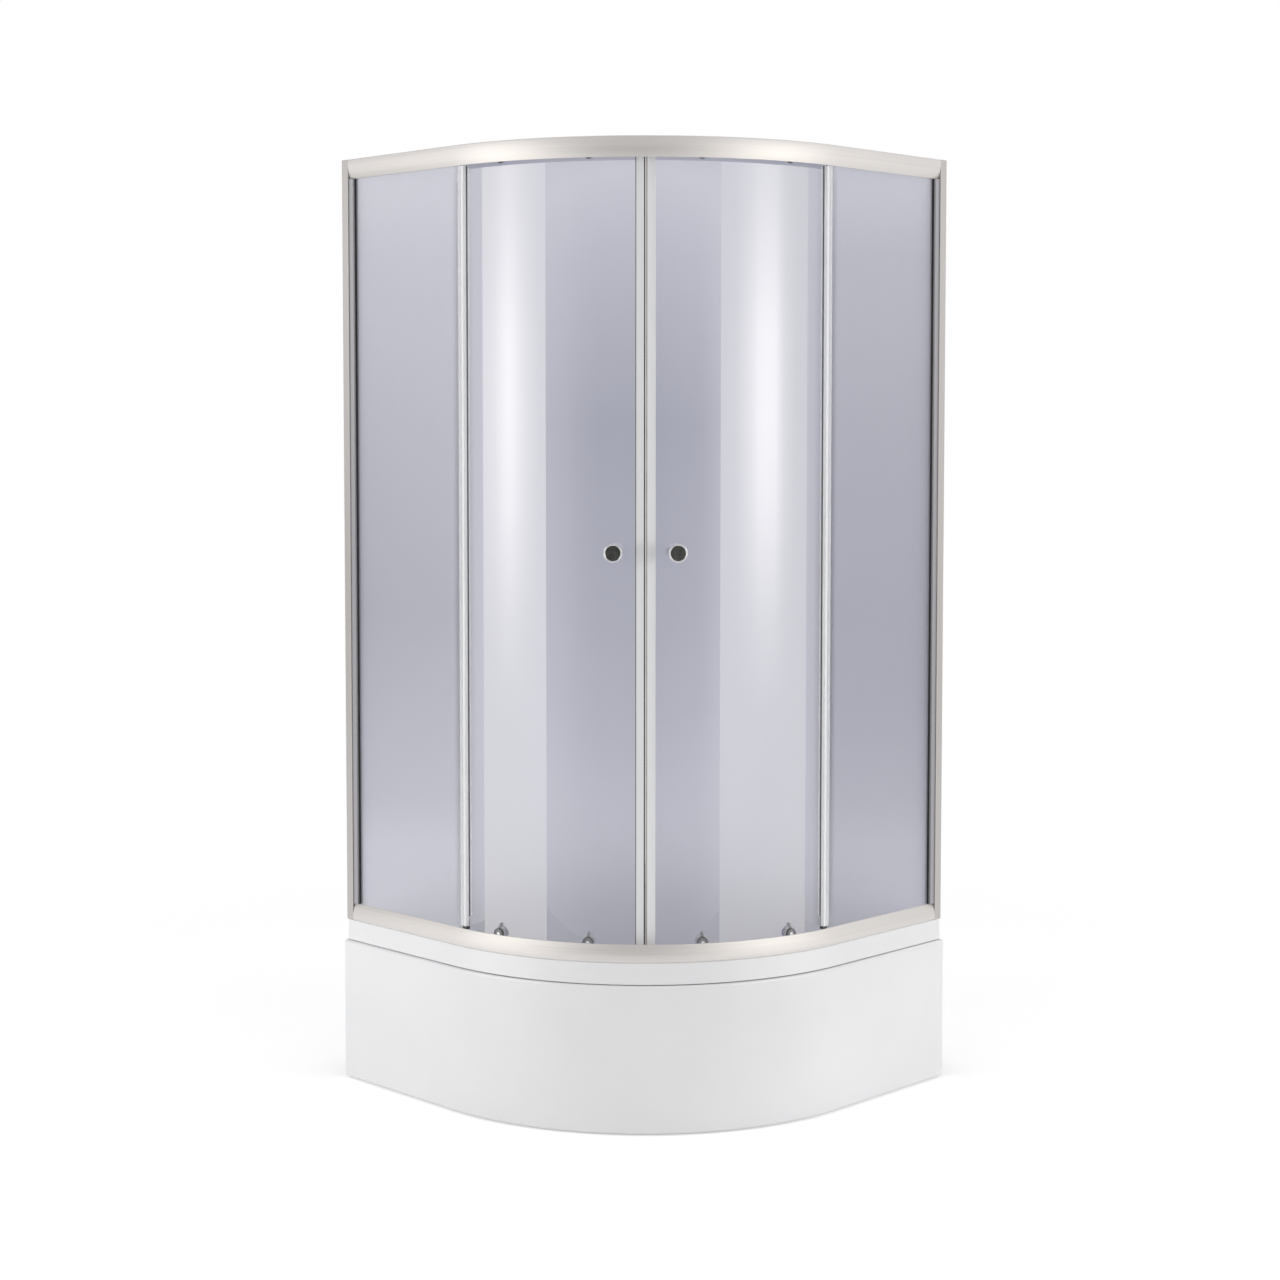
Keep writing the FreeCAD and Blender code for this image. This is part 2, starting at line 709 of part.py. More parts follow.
def roller_plate(angle):
    """Lower roller plate on the outer face of the glass, with a T slot for the release button."""
    start = RAIL_RADIUS - PLATE_DEPTH - PLATE_THICKNESS
    half = PLATE_WIDTH / 2
    foot = DOOR_FOOT
    bend = PLATE_CORNER * NIP
    plate = face([
        vec(start, -half, foot),
        vec(start, half, foot),
        vec(start, half, PLATE_HEAD - PLATE_CORNER),
        (vec(start, half - bend, PLATE_HEAD - bend), vec(start, half - PLATE_CORNER, PLATE_HEAD)),
        vec(start, PLATE_CORNER - half, PLATE_HEAD),
        (vec(start, bend - half, PLATE_HEAD - bend), vec(start, -half, PLATE_HEAD - PLATE_CORNER)),
    ]).extrude(vec(PLATE_THICKNESS, 0, 0))
    foot_half = BUTTON_FOOT_WIDTH / 2 + PIN_PLAY
    stem_half = BUTTON_WIDTH / 2 + PIN_PLAY
    slot_top = PLATE_HEAD - BUTTON_COVER
    slot_foot = slot_top - BUTTON_FOOT - BUTTON_TRAVEL - 2 * PIN_PLAY
    end = start + PLATE_THICKNESS
    cuts = [
        pin(AXLE_RADIUS, start, end, BOTTOM_AXLE),
        box(vec(start, -foot_half, slot_foot), vec(end, foot_half, slot_top)),
        box(vec(start, -stem_half, slot_top), vec(end, stem_half, PLATE_HEAD)),
    ]
    return on_arc(plate.cut(cuts), angle)


def release_button(angle):
    """Sprung button in the roller plate: a foot in the T slot and a stem with a rounded head."""
    start = RAIL_RADIUS - PLATE_DEPTH - PLATE_THICKNESS + BUTTON_INSET
    top = PLATE_HEAD - BUTTON_COVER - PIN_PLAY
    crown = PLATE_HEAD + BUTTON_STAND
    foot_half = BUTTON_FOOT_WIDTH / 2
    stem_half = BUTTON_WIDTH / 2
    profile = face([
        vec(start, -foot_half, top - BUTTON_FOOT),
        vec(start, foot_half, top - BUTTON_FOOT),
        vec(start, foot_half, top),
        vec(start, stem_half, top),
        vec(start, stem_half, crown - stem_half),
        (vec(start, 0, crown), vec(start, -stem_half, crown - stem_half)),
        vec(start, -stem_half, top),
        vec(start, -foot_half, top),
    ])
    return on_arc(profile.extrude(vec(PLATE_THICKNESS - 2 * BUTTON_INSET, 0, 0)), angle)


def bottom_axle(angle):
    """Lower axle: head in the wheel, shank through plate and glass, cap nut inside the cabin."""
    seat = DOOR_INNER - SEAT_GAP
    head = WHEEL_OUTER - AXLE_SINK - AXLE_HEAD
    shank = pin(AXLE_RADIUS, seat, head, BOTTOM_AXLE)
    nut = pin(NUT_RADIUS, seat - NUT_HEIGHT, seat, BOTTOM_AXLE)
    return on_arc(joined(shank, nut, pin(AXLE_HEAD_RADIUS, head, head + AXLE_HEAD, BOTTOM_AXLE)), angle)


def knob_stud():
    start = DOOR_INNER - SEAT_GAP - STUD_DEPTH
    end = DOOR_OUTER + SEAT_GAP + STUD_DEPTH
    return on_arc(pin(STUD_RADIUS, start, end, KNOB_Z), from_seam(KNOB_FROM_SEAM))


def quadrant(wall, front, corner, z):
    """Tray outline: straight along the room walls, round at the front, with rounded corners."""
    right = HALF - front
    back = HALF - wall
    nip = corner * NIP
    front_mid = ARC_CENTRE + vec(1, -1, 0).normalize() * (FRONT_RADIUS - front)
    return wire([
        vec(right, ARC_CENTRE.y, z),
        vec(right, back - corner, z),
        (vec(right - nip, back - nip, z), vec(right - corner, back, z)),
        vec(corner - back, back, z),
        (vec(nip - back, back - nip, z), vec(-back, back - corner, z)),
        vec(-back, corner - right, z),
        (vec(nip - back, nip - right, z), vec(corner - back, -right, z)),
        vec(ARC_CENTRE.x, -right, z),
        (front_mid + vec(0, 0, z), vec(right, ARC_CENTRE.y, z)),
    ])


def drafted(top, bottom):
    return Part.makeLoft([top, bottom], True, True)


def level_edges(solid, z):
    def on_level(height):
        return abs(height - z) < SEAT_GAP

    return [e for e in solid.Edges if on_level(e.BoundBox.ZMin) and on_level(e.BoundBox.ZMax)]


def basin_form(grow, top_z, floor_z):
    """Drafted basin space; grow makes it larger all round."""
    slope = BASIN_DRAFT / BASIN_DEPTH
    rise = (top_z - TRAY_HEIGHT) * slope
    fall = (TRAY_HEIGHT - floor_z) * slope
    top = quadrant(WALL_RIM - grow - rise, RIM_WIDTH - grow - rise, BASIN_CORNER + grow + rise, top_z)
    low = quadrant(WALL_RIM - grow + fall, RIM_WIDTH - grow + fall, BASIN_CORNER + grow - fall, floor_z)
    form = drafted(top, low)
    return form.makeFillet(FLOOR_FILLET + grow, level_edges(form, floor_z))


def tray_basin():
    """One shell: a drafted rim, a deep basin with filleted walls and a sump round the drain."""
    rim_foot = TRAY_HEIGHT - RIM_DROP
    under = TRAY_HEIGHT - SHELL
    rim = drafted(quadrant(0, RIM_TOP_INSET, RIM_CORNER, TRAY_HEIGHT),
                  quadrant(0, RIM_FOOT_INSET, RIM_CORNER, rim_foot))
    hollow = drafted(quadrant(SHELL, RIM_TOP_INSET + SHELL, RIM_CORNER, under),
                     quadrant(SHELL, RIM_FOOT_INSET + SHELL, RIM_CORNER, rim_foot))
    sump_floor = BASIN_FLOOR - SUMP_DEPTH
    bowl = turned_z([(0, sump_floor), (SUMP_FLAT, sump_floor), (SUMP_RADIUS, BASIN_FLOOR),
                     (SUMP_RADIUS, BASIN_FLOOR + SEAT_GAP), (0, BASIN_FLOOR + SEAT_GAP)])
    pan = turned_z([(0, sump_floor - SHELL), (SUMP_FLAT + SHELL, sump_floor - SHELL),
                    (SUMP_RADIUS + SHELL, BASIN_FLOOR - SHELL / 2), (0, BASIN_FLOOR - SHELL / 2)])
    hole = Part.makeCylinder(DRAIN_RADIUS, BASIN_DEPTH)
    hole.translate(vec(0, 0, sump_floor - 2 * SHELL))
    for tool in (bowl, pan, hole):
        tool.translate(vec(DRAIN.x, DRAIN.y, 0))
    shell = rim.cut(hollow).fuse([basin_form(SHELL, under, BOARD_TOP), pan])
    shell = shell.cut([basin_form(0.0, TRAY_HEIGHT + SHELL, BASIN_FLOOR), bowl, hole]).removeSplitter()
    mouth = [e for e in level_edges(shell, TRAY_HEIGHT) if inside_rim(e)]
    return shell.makeFillet(MOUTH_FILLET, mouth)


def inside_rim(edge):
    """True for an edge of the basin's mouth, not of the rim's outside."""
    middle = edge.valueAt((edge.FirstParameter + edge.LastParameter) / 2)
    limit = HALF - WALL_RIM + SHELL
    round_limit = FRONT_RADIUS - RIM_WIDTH + SHELL
    outward = middle - ARC_CENTRE
    beyond = outward.x > 0 and outward.y < 0 and math.hypot(outward.x, outward.y) > round_limit
    return max(abs(middle.x), abs(middle.y)) < limit and not beyond


def base_board():
    inset = BOARD_INSET
    board = Part.Face(quadrant(inset, inset, BASIN_CORNER, TUBE_TOP)).extrude(vec(0, 0, BOARD))
    hole = Part.makeCylinder(BOARD_DRAIN_HOLE, BOARD, vec(DRAIN.x, DRAIN.y, TUBE_TOP))
    return board.cut(hole)


def waste_flange():
    body = turned_z([(FLANGE_BORE, 0), (FLANGE_RADIUS, 0), (FLANGE_RADIUS, FLANGE_THICKNESS / 2),
                     (FLANGE_RADIUS - FLANGE_THICKNESS, FLANGE_THICKNESS), (FLANGE_BORE, FLANGE_THICKNESS)])
    tail = turned_z([(FLANGE_BORE, -SHELL), (DRAIN_RADIUS - SEAT_GAP, -SHELL), (DRAIN_RADIUS - SEAT_GAP, 0),
                     (FLANGE_BORE, 0)])
    flange = joined(body, tail)
    flange.translate(DRAIN)
    return flange


def drain_cover():
    """Domed lift-off cover with a hollow plug that sits in the flange."""
    rise = COVER_EDGE + COVER_RISE
    shoulder = COVER_PLUG_RADIUS - COVER_WALL
    dome = (COVER_RADIUS ** 2 + COVER_RISE ** 2) / (2 * COVER_RISE)
    halfway = rise - dome + math.sqrt(dome ** 2 - (COVER_RADIUS / 2) ** 2)
    section = face([
        vec(0, 0, rise - COVER_WALL),
        vec(shoulder, 0, COVER_EDGE),
        vec(shoulder, 0, -COVER_PLUG),
        vec(COVER_PLUG_RADIUS, 0, -COVER_PLUG),
        vec(COVER_PLUG_RADIUS, 0, 0),
        vec(COVER_RADIUS, 0, 0),
        vec(COVER_RADIUS, 0, COVER_EDGE),
        (vec(COVER_RADIUS / 2, 0, halfway), vec(0, 0, rise)),
    ])
    cover = section.revolve(ORIGIN, UP, FULL)
    cover.translate(DRAIN + vec(0, 0, FLANGE_THICKNESS))
    return cover


def waste_gasket():
    ring = turned_z([(DRAIN_RADIUS, 0), (FLANGE_RADIUS, 0), (FLANGE_RADIUS, GASKET_THICKNESS),
                     (DRAIN_RADIUS, GASKET_THICKNESS)])
    ring.translate(DRAIN - vec(0, 0, SHELL + GASKET_THICKNESS))
    return ring


def trap_body():
    """Trap bowl with a collar under the tray, a spigot and an outlet pipe towards the left wall."""
    inner = TRAP_RADIUS - TRAP_WALL
    bend = TRAP_ROUND * NIP
    pit = TRAP_DEPTH - TRAP_WALL
    bowl = face([
        vec(0, 0, -TRAP_DEPTH),
        vec(TRAP_RADIUS - TRAP_ROUND, 0, -TRAP_DEPTH),
        (vec(TRAP_RADIUS - bend, 0, bend - TRAP_DEPTH), vec(TRAP_RADIUS, 0, TRAP_ROUND - TRAP_DEPTH)),
        vec(TRAP_RADIUS, 0, -TRAP_COLLAR),
        vec(FLANGE_RADIUS, 0, -TRAP_COLLAR),
        vec(FLANGE_RADIUS, 0, 0),
        vec(inner, 0, 0),
        vec(inner, 0, TRAP_ROUND - pit),
        vec(inner - TRAP_ROUND, 0, -pit),
        vec(0, 0, -pit),
    ]).revolve(ORIGIN, UP, FULL)
    axis = vec(0, 0, -OUTLET_DROP)
    out = vec(-1, 0, 0)
    reach = TRAP_RADIUS + RUN_GAP + OUTLET_NUT
    spigot = Part.makeCylinder(SPIGOT_RADIUS, reach, axis, out)
    pipe = Part.makeCylinder(OUTLET_RADIUS, reach + OUTLET_FREE, axis, out)
    well = Part.makeCylinder(inner, 2 * SPIGOT_RADIUS, axis - vec(0, 0, SPIGOT_RADIUS))
    flow = Part.makeCylinder(OUTLET_RADIUS - OUTLET_WALL, reach + OUTLET_FREE, axis, out)
    body = bowl.fuse(spigot.fuse(pipe).cut(well)).cut(flow).removeSplitter()
    body.translate(trap_top())
    return body


def trap_top():
    return DRAIN - vec(0, 0, SHELL + GASKET_THICKNESS)


def outlet_nut():
    """Nut on the spigot, with round lugs for the hand."""
    bore = SPIGOT_RADIUS + SEAT_GAP
    ring = turned_x([(0, bore), (0, OUTLET_NUT_RADIUS), (OUTLET_NUT, OUTLET_NUT_RADIUS), (OUTLET_NUT, bore)])
    lugs = []
    for k in range(NUT_LUGS):
        lug = Part.makeCylinder(NUT_LUG_RADIUS, OUTLET_NUT, vec(0, 0, OUTLET_NUT_RADIUS), vec(1, 0, 0))
        lug.rotate(ORIGIN, vec(1, 0, 0), FULL / NUT_LUGS * k)
        lugs.append(lug)
    ring = joined(ring, *lugs)
    ring.translate(trap_top() - vec(TRAP_RADIUS + OUTLET_NUT + RUN_GAP, 0, OUTLET_DROP))
    return ring


def apron_panel():
    """Curved apron: a rounded top edge with a flange under the rim and a flange at its foot."""
    front = -SCREEN_INSET
    top = TRAY_HEIGHT - RIM_DROP - APRON_SHADOW_GAP
    outer_nip = APRON_ROUND * NIP
    inner_round = APRON_ROUND - APRON_WALL
    inner_nip = inner_round * NIP
    skin = front + APRON_WALL
    flange = front + APRON_FLANGE
    section = face([
        rail_point(front, APRON_LIFT),
        rail_point(front, top - APRON_ROUND),
        (rail_point(front + outer_nip, top - outer_nip), rail_point(front + APRON_ROUND, top)),
        rail_point(flange, top),
        rail_point(flange, top - APRON_WALL),
        rail_point(skin + inner_round, top - APRON_WALL),
        (rail_point(skin + inner_nip, top - APRON_WALL - inner_nip), rail_point(skin, top - APRON_ROUND)),
        rail_point(skin, APRON_LIFT + APRON_WALL),
        rail_point(flange, APRON_LIFT + APRON_WALL),
        rail_point(flange, APRON_LIFT),
    ])
    return sweep_front(section, 0.0)


def frame_to_room(shape):
    """The tube frame is built with +X towards the front and turned into the room's axes."""
    placed = shape.copy()
    placed.rotate(ORIGIN, UP, -HALF_QUARTER)
    return placed


def frame_point(forward, sideways, z=0.0):
    return vec((forward + sideways) / math.sqrt(2), (sideways - forward) / math.sqrt(2), z)


def leg_places():
    front = TUBE_FRONT - LEG_FROM_END
    rear = LEG_FROM_END - TUBE_REAR
    side = TUBE_SIDE - LEG_FROM_END
    return [(front, TUBE_SPREAD), (front, -TUBE_SPREAD), (rear, TUBE_SPREAD), (rear, -TUBE_SPREAD),
            (0, side), (0, -side)]


def tube(low_x, high_x, low_y, high_y, along_x):
    """Square tube with rounded long edges, open at both ends."""
    solid = box(vec(low_x, low_y, TUBE_FOOT), vec(high_x, high_y, TUBE_TOP))
    lengthwise = vec(1, 0, 0) if along_x else vec(0, 1, 0)
    edges = [e for e in solid.Edges if e.tangentAt(e.FirstParameter).cross(lengthwise).Length < SAME_POINT]
    skin = vec(0, TUBE_WALL, TUBE_WALL) if along_x else vec(TUBE_WALL, 0, TUBE_WALL)
    core = box(vec(low_x, low_y, TUBE_FOOT) + skin, vec(high_x, high_y, TUBE_TOP) - skin)
    return solid.makeFillet(TUBE_ROUND, edges).cut(core)


def support_frame():
    half = TUBE / 2
    inside = TUBE_SPREAD - half
    outside = TUBE_SPREAD + half
    tubes = [
        tube(-TUBE_REAR, TUBE_FRONT, inside, outside, True),
        tube(-TUBE_REAR, TUBE_FRONT, -outside, -inside, True),
        tube(-half, half, -inside, inside, False),
        tube(-half, half, outside, TUBE_SIDE, False),
        tube(-half, half, -TUBE_SIDE, -outside, False),
    ]
    holes = [Part.makeCylinder(LEG_RADIUS + PIN_PLAY, TUBE, vec(x, y, TUBE_FOOT)) for x, y in leg_places()]
    return [frame_to_room(piece.cut(holes)) for piece in tubes]


def tube_caps():
    """Plastic plugs in the open tube ends."""
    half = TUBE / 2
    core = half - TUBE_WALL - SEAT_GAP
    plate = box(vec(0, -half, -half), vec(CAP_PLATE, half, half))
    plug = joined(plate, box(vec(-CAP_DEPTH, -core, -core), vec(0, core, core)))
    ends = [(TUBE_FRONT, TUBE_SPREAD, 0), (TUBE_FRONT, -TUBE_SPREAD, 0),
            (-TUBE_REAR, TUBE_SPREAD, 2 * QUARTER), (-TUBE_REAR, -TUBE_SPREAD, 2 * QUARTER),
            (0, TUBE_SIDE, QUARTER), (0, -TUBE_SIDE, -QUARTER)]
    caps = []
    for x, y, turn in ends:
        cap = plug.copy()
        cap.rotate(ORIGIN, UP, turn)
        cap.translate(vec(x, y, TUBE_FOOT + half))
        caps.append(frame_to_room(cap))
    return caps


def leg_rods():
    low = FOOT_HEIGHT - FOOT_SOCKET
    length = TUBE_TOP - LEG_TOP_GAP - low
    return [Part.makeCylinder(LEG_RADIUS, length, frame_point(*place, low)) for place in leg_places()]


def leg_nuts():
    """Hexagonal lock nuts under the tubes."""
    sides = [math.radians(FULL / 6 * k) for k in range(6)]
    hexagon = face([vec(LEG_NUT_RADIUS * math.cos(a), LEG_NUT_RADIUS * math.sin(a), 0) for a in sides])
    nut = hexagon.extrude(vec(0, 0, LEG_NUT)).cut(Part.makeCylinder(LEG_RADIUS, LEG_NUT))
    nuts = []
    for place in leg_places():
        copy = nut.copy()
        copy.translate(frame_point(*place, TUBE_FOOT - LEG_NUT))
        nuts.append(copy)
    return nuts


def levelling_feet():
    """Turned plastic feet with a socket for the rod."""
    foot = turned_z([(0, 0), (FOOT_RADIUS, 0), (FOOT_RADIUS, FOOT_LIP), (FOOT_NECK_RADIUS, FOOT_HEIGHT),
                     (LEG_RADIUS, FOOT_HEIGHT), (LEG_RADIUS, FOOT_HEIGHT - FOOT_SOCKET),
                     (0, FOOT_HEIGHT - FOOT_SOCKET)])
    feet = []
    for place in leg_places():
        copy = foot.copy()
        copy.translate(frame_point(*place))
        feet.append(copy)
    return feet


def strap_run(place):
    """Direction and reach of an apron strap, from its leg straight to the apron's skin."""
    leg = frame_point(*place)
    skin = FRONT_RADIUS - APRON_WALL
    if place[0] > 0:
        out = leg - ARC_CENTRE
        out.z = 0
        reach = skin - out.Length
        return leg, out.normalize(), reach
    reach = HALF - APRON_WALL - abs(leg.x)
    return leg, vec(1, 0, 0), reach


def apron_straps():
    """Bent straps on the legs that hold the apron's foot flange, and their screws."""
    straps = []
    screws = []
    high = TUBE_FOOT - LEG_NUT - STRAP_BELOW_NUT
    seat = APRON_LIFT + APRON_WALL
    half = STRAP_WIDTH / 2
    for place in leg_places():
        if place[1] < 0 or place[0] < 0:
            continue
        leg, out, reach = strap_run(place)
        bend = reach - STRAP_SEAT
        path = face([
            vec(-STRAP_TAIL, -half, high - STRAP),
            vec(bend - STRAP, -half, high - STRAP),
            vec(bend - STRAP, -half, seat),
            vec(reach - STRAP, -half, seat),
            vec(reach - STRAP, -half, seat + STRAP),
            vec(bend, -half, seat + STRAP),
            vec(bend, -half, high),
            vec(-STRAP_TAIL, -half, high),
        ])
        strap = path.extrude(vec(0, STRAP_WIDTH, 0))
        strap = strap.cut(Part.makeCylinder(LEG_RADIUS + PIN_PLAY, STRAP, vec(0, 0, high - STRAP)))
        middle = (bend + reach - STRAP) / 2
        screw = joined(
            Part.makeCylinder(SCREW_RADIUS, STRAP + APRON_WALL, vec(middle, 0, APRON_LIFT)),
            Part.makeCylinder(SCREW_HEAD_RADIUS, SCREW_HEAD, vec(middle, 0, seat + STRAP)),
        )
        strap = strap.cut(screw)
        turn = math.degrees(math.atan2(out.y, out.x))
        for piece, group in ((strap, straps), (screw, screws)):
            piece.rotate(ORIGIN, UP, turn)
            piece.translate(leg)
            group.append(piece)
            group.append(mirrored(piece))
    return straps, screws


def build():
    os.makedirs("parts", exist_ok=True)
    rollers = {"lead": from_seam(LEAD_ROLLER), "trail": from_seam(TRAIL_ROLLER)}
    angles = list(rollers.values())

    straps, screws = apron_straps()
    apron = apron_panel().cut(screws)
    save("tray_basin", tray_basin())
    save("base_board", base_board())
    save("support_frame", *support_frame())
    save("tube_end_caps", *tube_caps())
    save("leg_rods", *leg_rods())
    save("leg_nuts", *leg_nuts())
    save("levelling_feet", *levelling_feet())
    save("apron_panel", apron)
    save("apron_straps", *straps)
    save("apron_screws", *screws)
    save("waste_flange", waste_flange())
    save("waste_gasket", waste_gasket())
    save("drain_cover", drain_cover())
    save("trap_body", trap_body())
    save("trap_outlet_nut", outlet_nut())

    save("top_rail", rail(SCREEN_TOP, -1, TOP_RAIL_HEIGHT, TOP_LEDGE))
    save("bottom_rail", rail(TRAY_HEIGHT, 1, BOTTOM_RAIL_HEIGHT, BOTTOM_LEDGE))
    save_pair("wall_post", wall_post())
    save_pair("glass_jamb", glass_jamb())
    save_pair("fixed_glass", fixed_pane())
    gasket = jamb_gasket()
    save("jamb_gaskets", gasket, mirrored(gasket))
    seal = edge_seal()
    save("fixed_edge_seals", seal, mirrored(seal))
    clip = edge_channel(CLIP_LEG, CLIP_NOSE, CLIP_WALL, SKIRT_TOP, SKIRT_TOP + CLIP_HEIGHT)
    save("pane_clips", clip, mirrored(clip))
    blocks = [end_block(name) for name in (TOP_RAIL, BOTTOM_RAIL)]
    save("rail_end_blocks", *blocks, *[mirrored(block) for block in blocks])
    post_screws = [post_screw(name) for name in (TOP_RAIL, BOTTOM_RAIL)]
    save("post_screws", *post_screws, *[mirrored(screw) for screw in post_screws])
    stop = door_stop()
    save("door_stops", stop, mirrored(stop))

    save_pair("door_glass", door_glass(angles))
    save_pair("magnetic_seal", magnetic_seal())
    save_pair("magnet_strip", magnet_bar(0.0))
    save_pair("trailing_seal", trailing_seal())
    save_pair("knob_outer", outer_knob())
    save_pair("knob_inner", inner_knob())
    save_pair("roller_hangers", *[hanger(angle) for angle in angles])
    save_pair("roller_plates", *[roller_plate(angle) for angle in angles])
    fasteners = [knob_stud()]
    for angle in angles:
        fasteners += [top_axle(angle), hanger_bolt(angle), bottom_axle(angle)]
    save_pair("door_fasteners", *fasteners)
    for place, angle in rollers.items():
        save_pair("top_wheel_" + place, placed_wheel(TOP_WHEEL_RADIUS, TOP_AXLE, angle))
        save_pair("bottom_wheel_" + place, placed_wheel(BOTTOM_WHEEL_RADIUS, BOTTOM_AXLE, angle))
        save_pair("release_button_" + place, release_button(angle))


build()
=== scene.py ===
# %% [markdown]
# # A corner shower cabin
# The cabin stands in the corner of a room: a deep white tray, two flat side panes, and two curved doors
# that slide apart from the middle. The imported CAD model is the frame. It holds every piece at its real
# place and size, so this script only adds finishes, light and a camera, and models afresh the pieces
# whose polish or small detail needs a finer mesh than the frame has.

# %% Load the frame
import json
import math

import bmesh
import bpy
from mathutils import Matrix, Vector


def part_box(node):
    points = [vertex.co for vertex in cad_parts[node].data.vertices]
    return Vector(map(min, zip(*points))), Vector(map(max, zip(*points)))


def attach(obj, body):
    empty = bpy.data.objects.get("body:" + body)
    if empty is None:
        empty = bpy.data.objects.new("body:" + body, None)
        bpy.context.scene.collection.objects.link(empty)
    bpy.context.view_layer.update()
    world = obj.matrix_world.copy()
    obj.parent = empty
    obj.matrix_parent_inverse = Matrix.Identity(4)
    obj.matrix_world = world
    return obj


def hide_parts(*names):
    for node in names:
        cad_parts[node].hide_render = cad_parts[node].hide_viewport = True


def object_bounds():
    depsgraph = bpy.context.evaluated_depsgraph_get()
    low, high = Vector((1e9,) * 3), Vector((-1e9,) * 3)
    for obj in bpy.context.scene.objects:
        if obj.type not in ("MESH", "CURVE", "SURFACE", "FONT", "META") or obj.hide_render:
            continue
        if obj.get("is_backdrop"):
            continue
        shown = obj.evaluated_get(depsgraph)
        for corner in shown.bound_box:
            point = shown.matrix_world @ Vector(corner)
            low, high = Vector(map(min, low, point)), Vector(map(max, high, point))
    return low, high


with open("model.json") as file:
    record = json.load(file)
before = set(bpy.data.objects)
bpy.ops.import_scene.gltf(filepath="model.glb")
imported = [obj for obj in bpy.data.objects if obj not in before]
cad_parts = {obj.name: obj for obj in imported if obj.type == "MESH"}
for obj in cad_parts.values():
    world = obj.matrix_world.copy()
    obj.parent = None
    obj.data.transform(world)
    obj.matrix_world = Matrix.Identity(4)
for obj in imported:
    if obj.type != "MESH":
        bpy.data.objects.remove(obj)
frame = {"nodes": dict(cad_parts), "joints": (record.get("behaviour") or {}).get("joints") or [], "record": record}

MM = 0.001
cad_low, cad_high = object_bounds()

# %% [markdown]
# ## Where things are
# All curved pieces bend about one upright axis. It lies one front radius inside the two outer faces, so
# it follows from the frame's box. The doors and side panes are the same left and right. A right-hand piece
# becomes a left-hand one through a mirror in the diagonal plane, which swaps x with -y.

# %% The plan of the cabin
FRONT_RADIUS = 550 * MM
HALF = cad_high.x
WALL = cad_high.y
BEND = Vector((HALF - FRONT_RADIUS, FRONT_RADIUS - HALF, 0))
STRAIGHT = WALL - BEND.y
SIDES = {
    "right": Matrix.Identity(4),
    "left": Matrix(((0, -1, 0, 0), (-1, 0, 0, 0), (0, 0, 1, 0), (0, 0, 0, 1))),
}
TRAY_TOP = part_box("tray_basin")[1].z
SCREEN_TOP = cad_high.z
RIGHT_ANGLE = math.radians(90)
DOOR_FOOT, DOOR_TOP = (corner.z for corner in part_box("door_glass_right"))
DOOR_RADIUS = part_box("door_glass_right")[1].x - BEND.x
print("bend axis", [round(v, 3) for v in BEND[:2]], "door radius", round(DOOR_RADIUS, 4))

# %% [markdown]
# ## The camera
# The picture was taken with the lens at chest height on the diagonal of the cabin, nearly level. Its
# upright lines stay upright, which a view camera does by sliding the lens down. A small shift and a small
# tilt share that work here, so the same camera can also walk round the cabin without losing its top.

# %% Camera
TOWARDS_VIEWER = Vector((1, -1, 0)).normalized()
TO_THE_RIGHT = Vector((1, 1, 0)).normalized()
CAMERA_DISTANCE = 4.750
CAMERA_ASIDE = -0.034
CAMERA_HEIGHT = 1.379
CAMERA_TILT = math.radians(3.387)
lens = bpy.data.cameras.new("photo_view")
lens.sensor_width = 36.0
lens.lens = 63.5
lens.shift_x = 0.0094
lens.shift_y = -0.06
camera = bpy.data.objects.new("photo_view", lens)
camera.location = TOWARDS_VIEWER * CAMERA_DISTANCE + TO_THE_RIGHT * CAMERA_ASIDE
camera.location.z = CAMERA_HEIGHT
look = -TOWARDS_VIEWER * math.cos(CAMERA_TILT) - Vector((0, 0, math.sin(CAMERA_TILT)))
camera.rotation_euler = look.to_track_quat("-Z", "Y").to_euler()
bpy.context.scene.collection.objects.link(camera)
bpy.context.scene.camera = camera
print("camera at", [round(v, 3) for v in camera.location])

# %% [markdown]
# ## Node helpers
# Each finish is a Principled shader with a few texture nodes in front of it. The nodes read Object
# coordinates, so a pattern keeps its real size and stays with its piece when a door slides.

# %% Helpers for finishes
def set_inputs(node, sockets):
    for socket, value in sockets.items():
        node.inputs[socket.replace("_", " ")].default_value = value
    return node


def shader_of(material):
    return material.node_tree.nodes["Principled BSDF"]


def new_finish(name, **sockets):
    """A material with one Principled shader whose constant sockets are set by name."""
    material = bpy.data.materials.new(name)
    material.use_nodes = True
    set_inputs(shader_of(material), sockets)
    print("finish:", name)
    return material


def add_node(owner, kind, **sockets):
    """A shader node in a material or world, with its inputs set by name."""
    return set_inputs(owner.node_tree.nodes.new("ShaderNode" + kind), sockets)


def wire_up(owner, output, node, socket):
    owner.node_tree.links.new(output, node.inputs[socket])


def object_place(owner):
    return add_node(owner, "TexCoord").outputs["Object"]


def noise(material, scale, stretch=(1, 1, 1), detail=3.0, roughness=0.5):
    """Noise on Object coordinates; stretch gives each axis its own frequency."""
    mapping = add_node(material, "Mapping", Scale=stretch)
    wire_up(material, object_place(material), mapping, "Vector")
    texture = add_node(material, "TexNoise", Scale=scale, Detail=detail, Roughness=roughness)
    wire_up(material, mapping.outputs["Vector"], texture, "Vector")
    return texture.outputs["Fac"]


def ramp(owner, fac, stops):
    """Colours that run between (place, colour) stops."""
    made = add_node(owner, "ValToRGB")
    marks = made.color_ramp.elements
    while len(marks) < len(stops):
        marks.new(0.5)
    for mark, (place, colour) in zip(marks, stops):
        mark.position = place
        mark.color = (*colour, 1)
    wire_up(owner, fac, made, "Fac")
    return made.outputs["Color"]


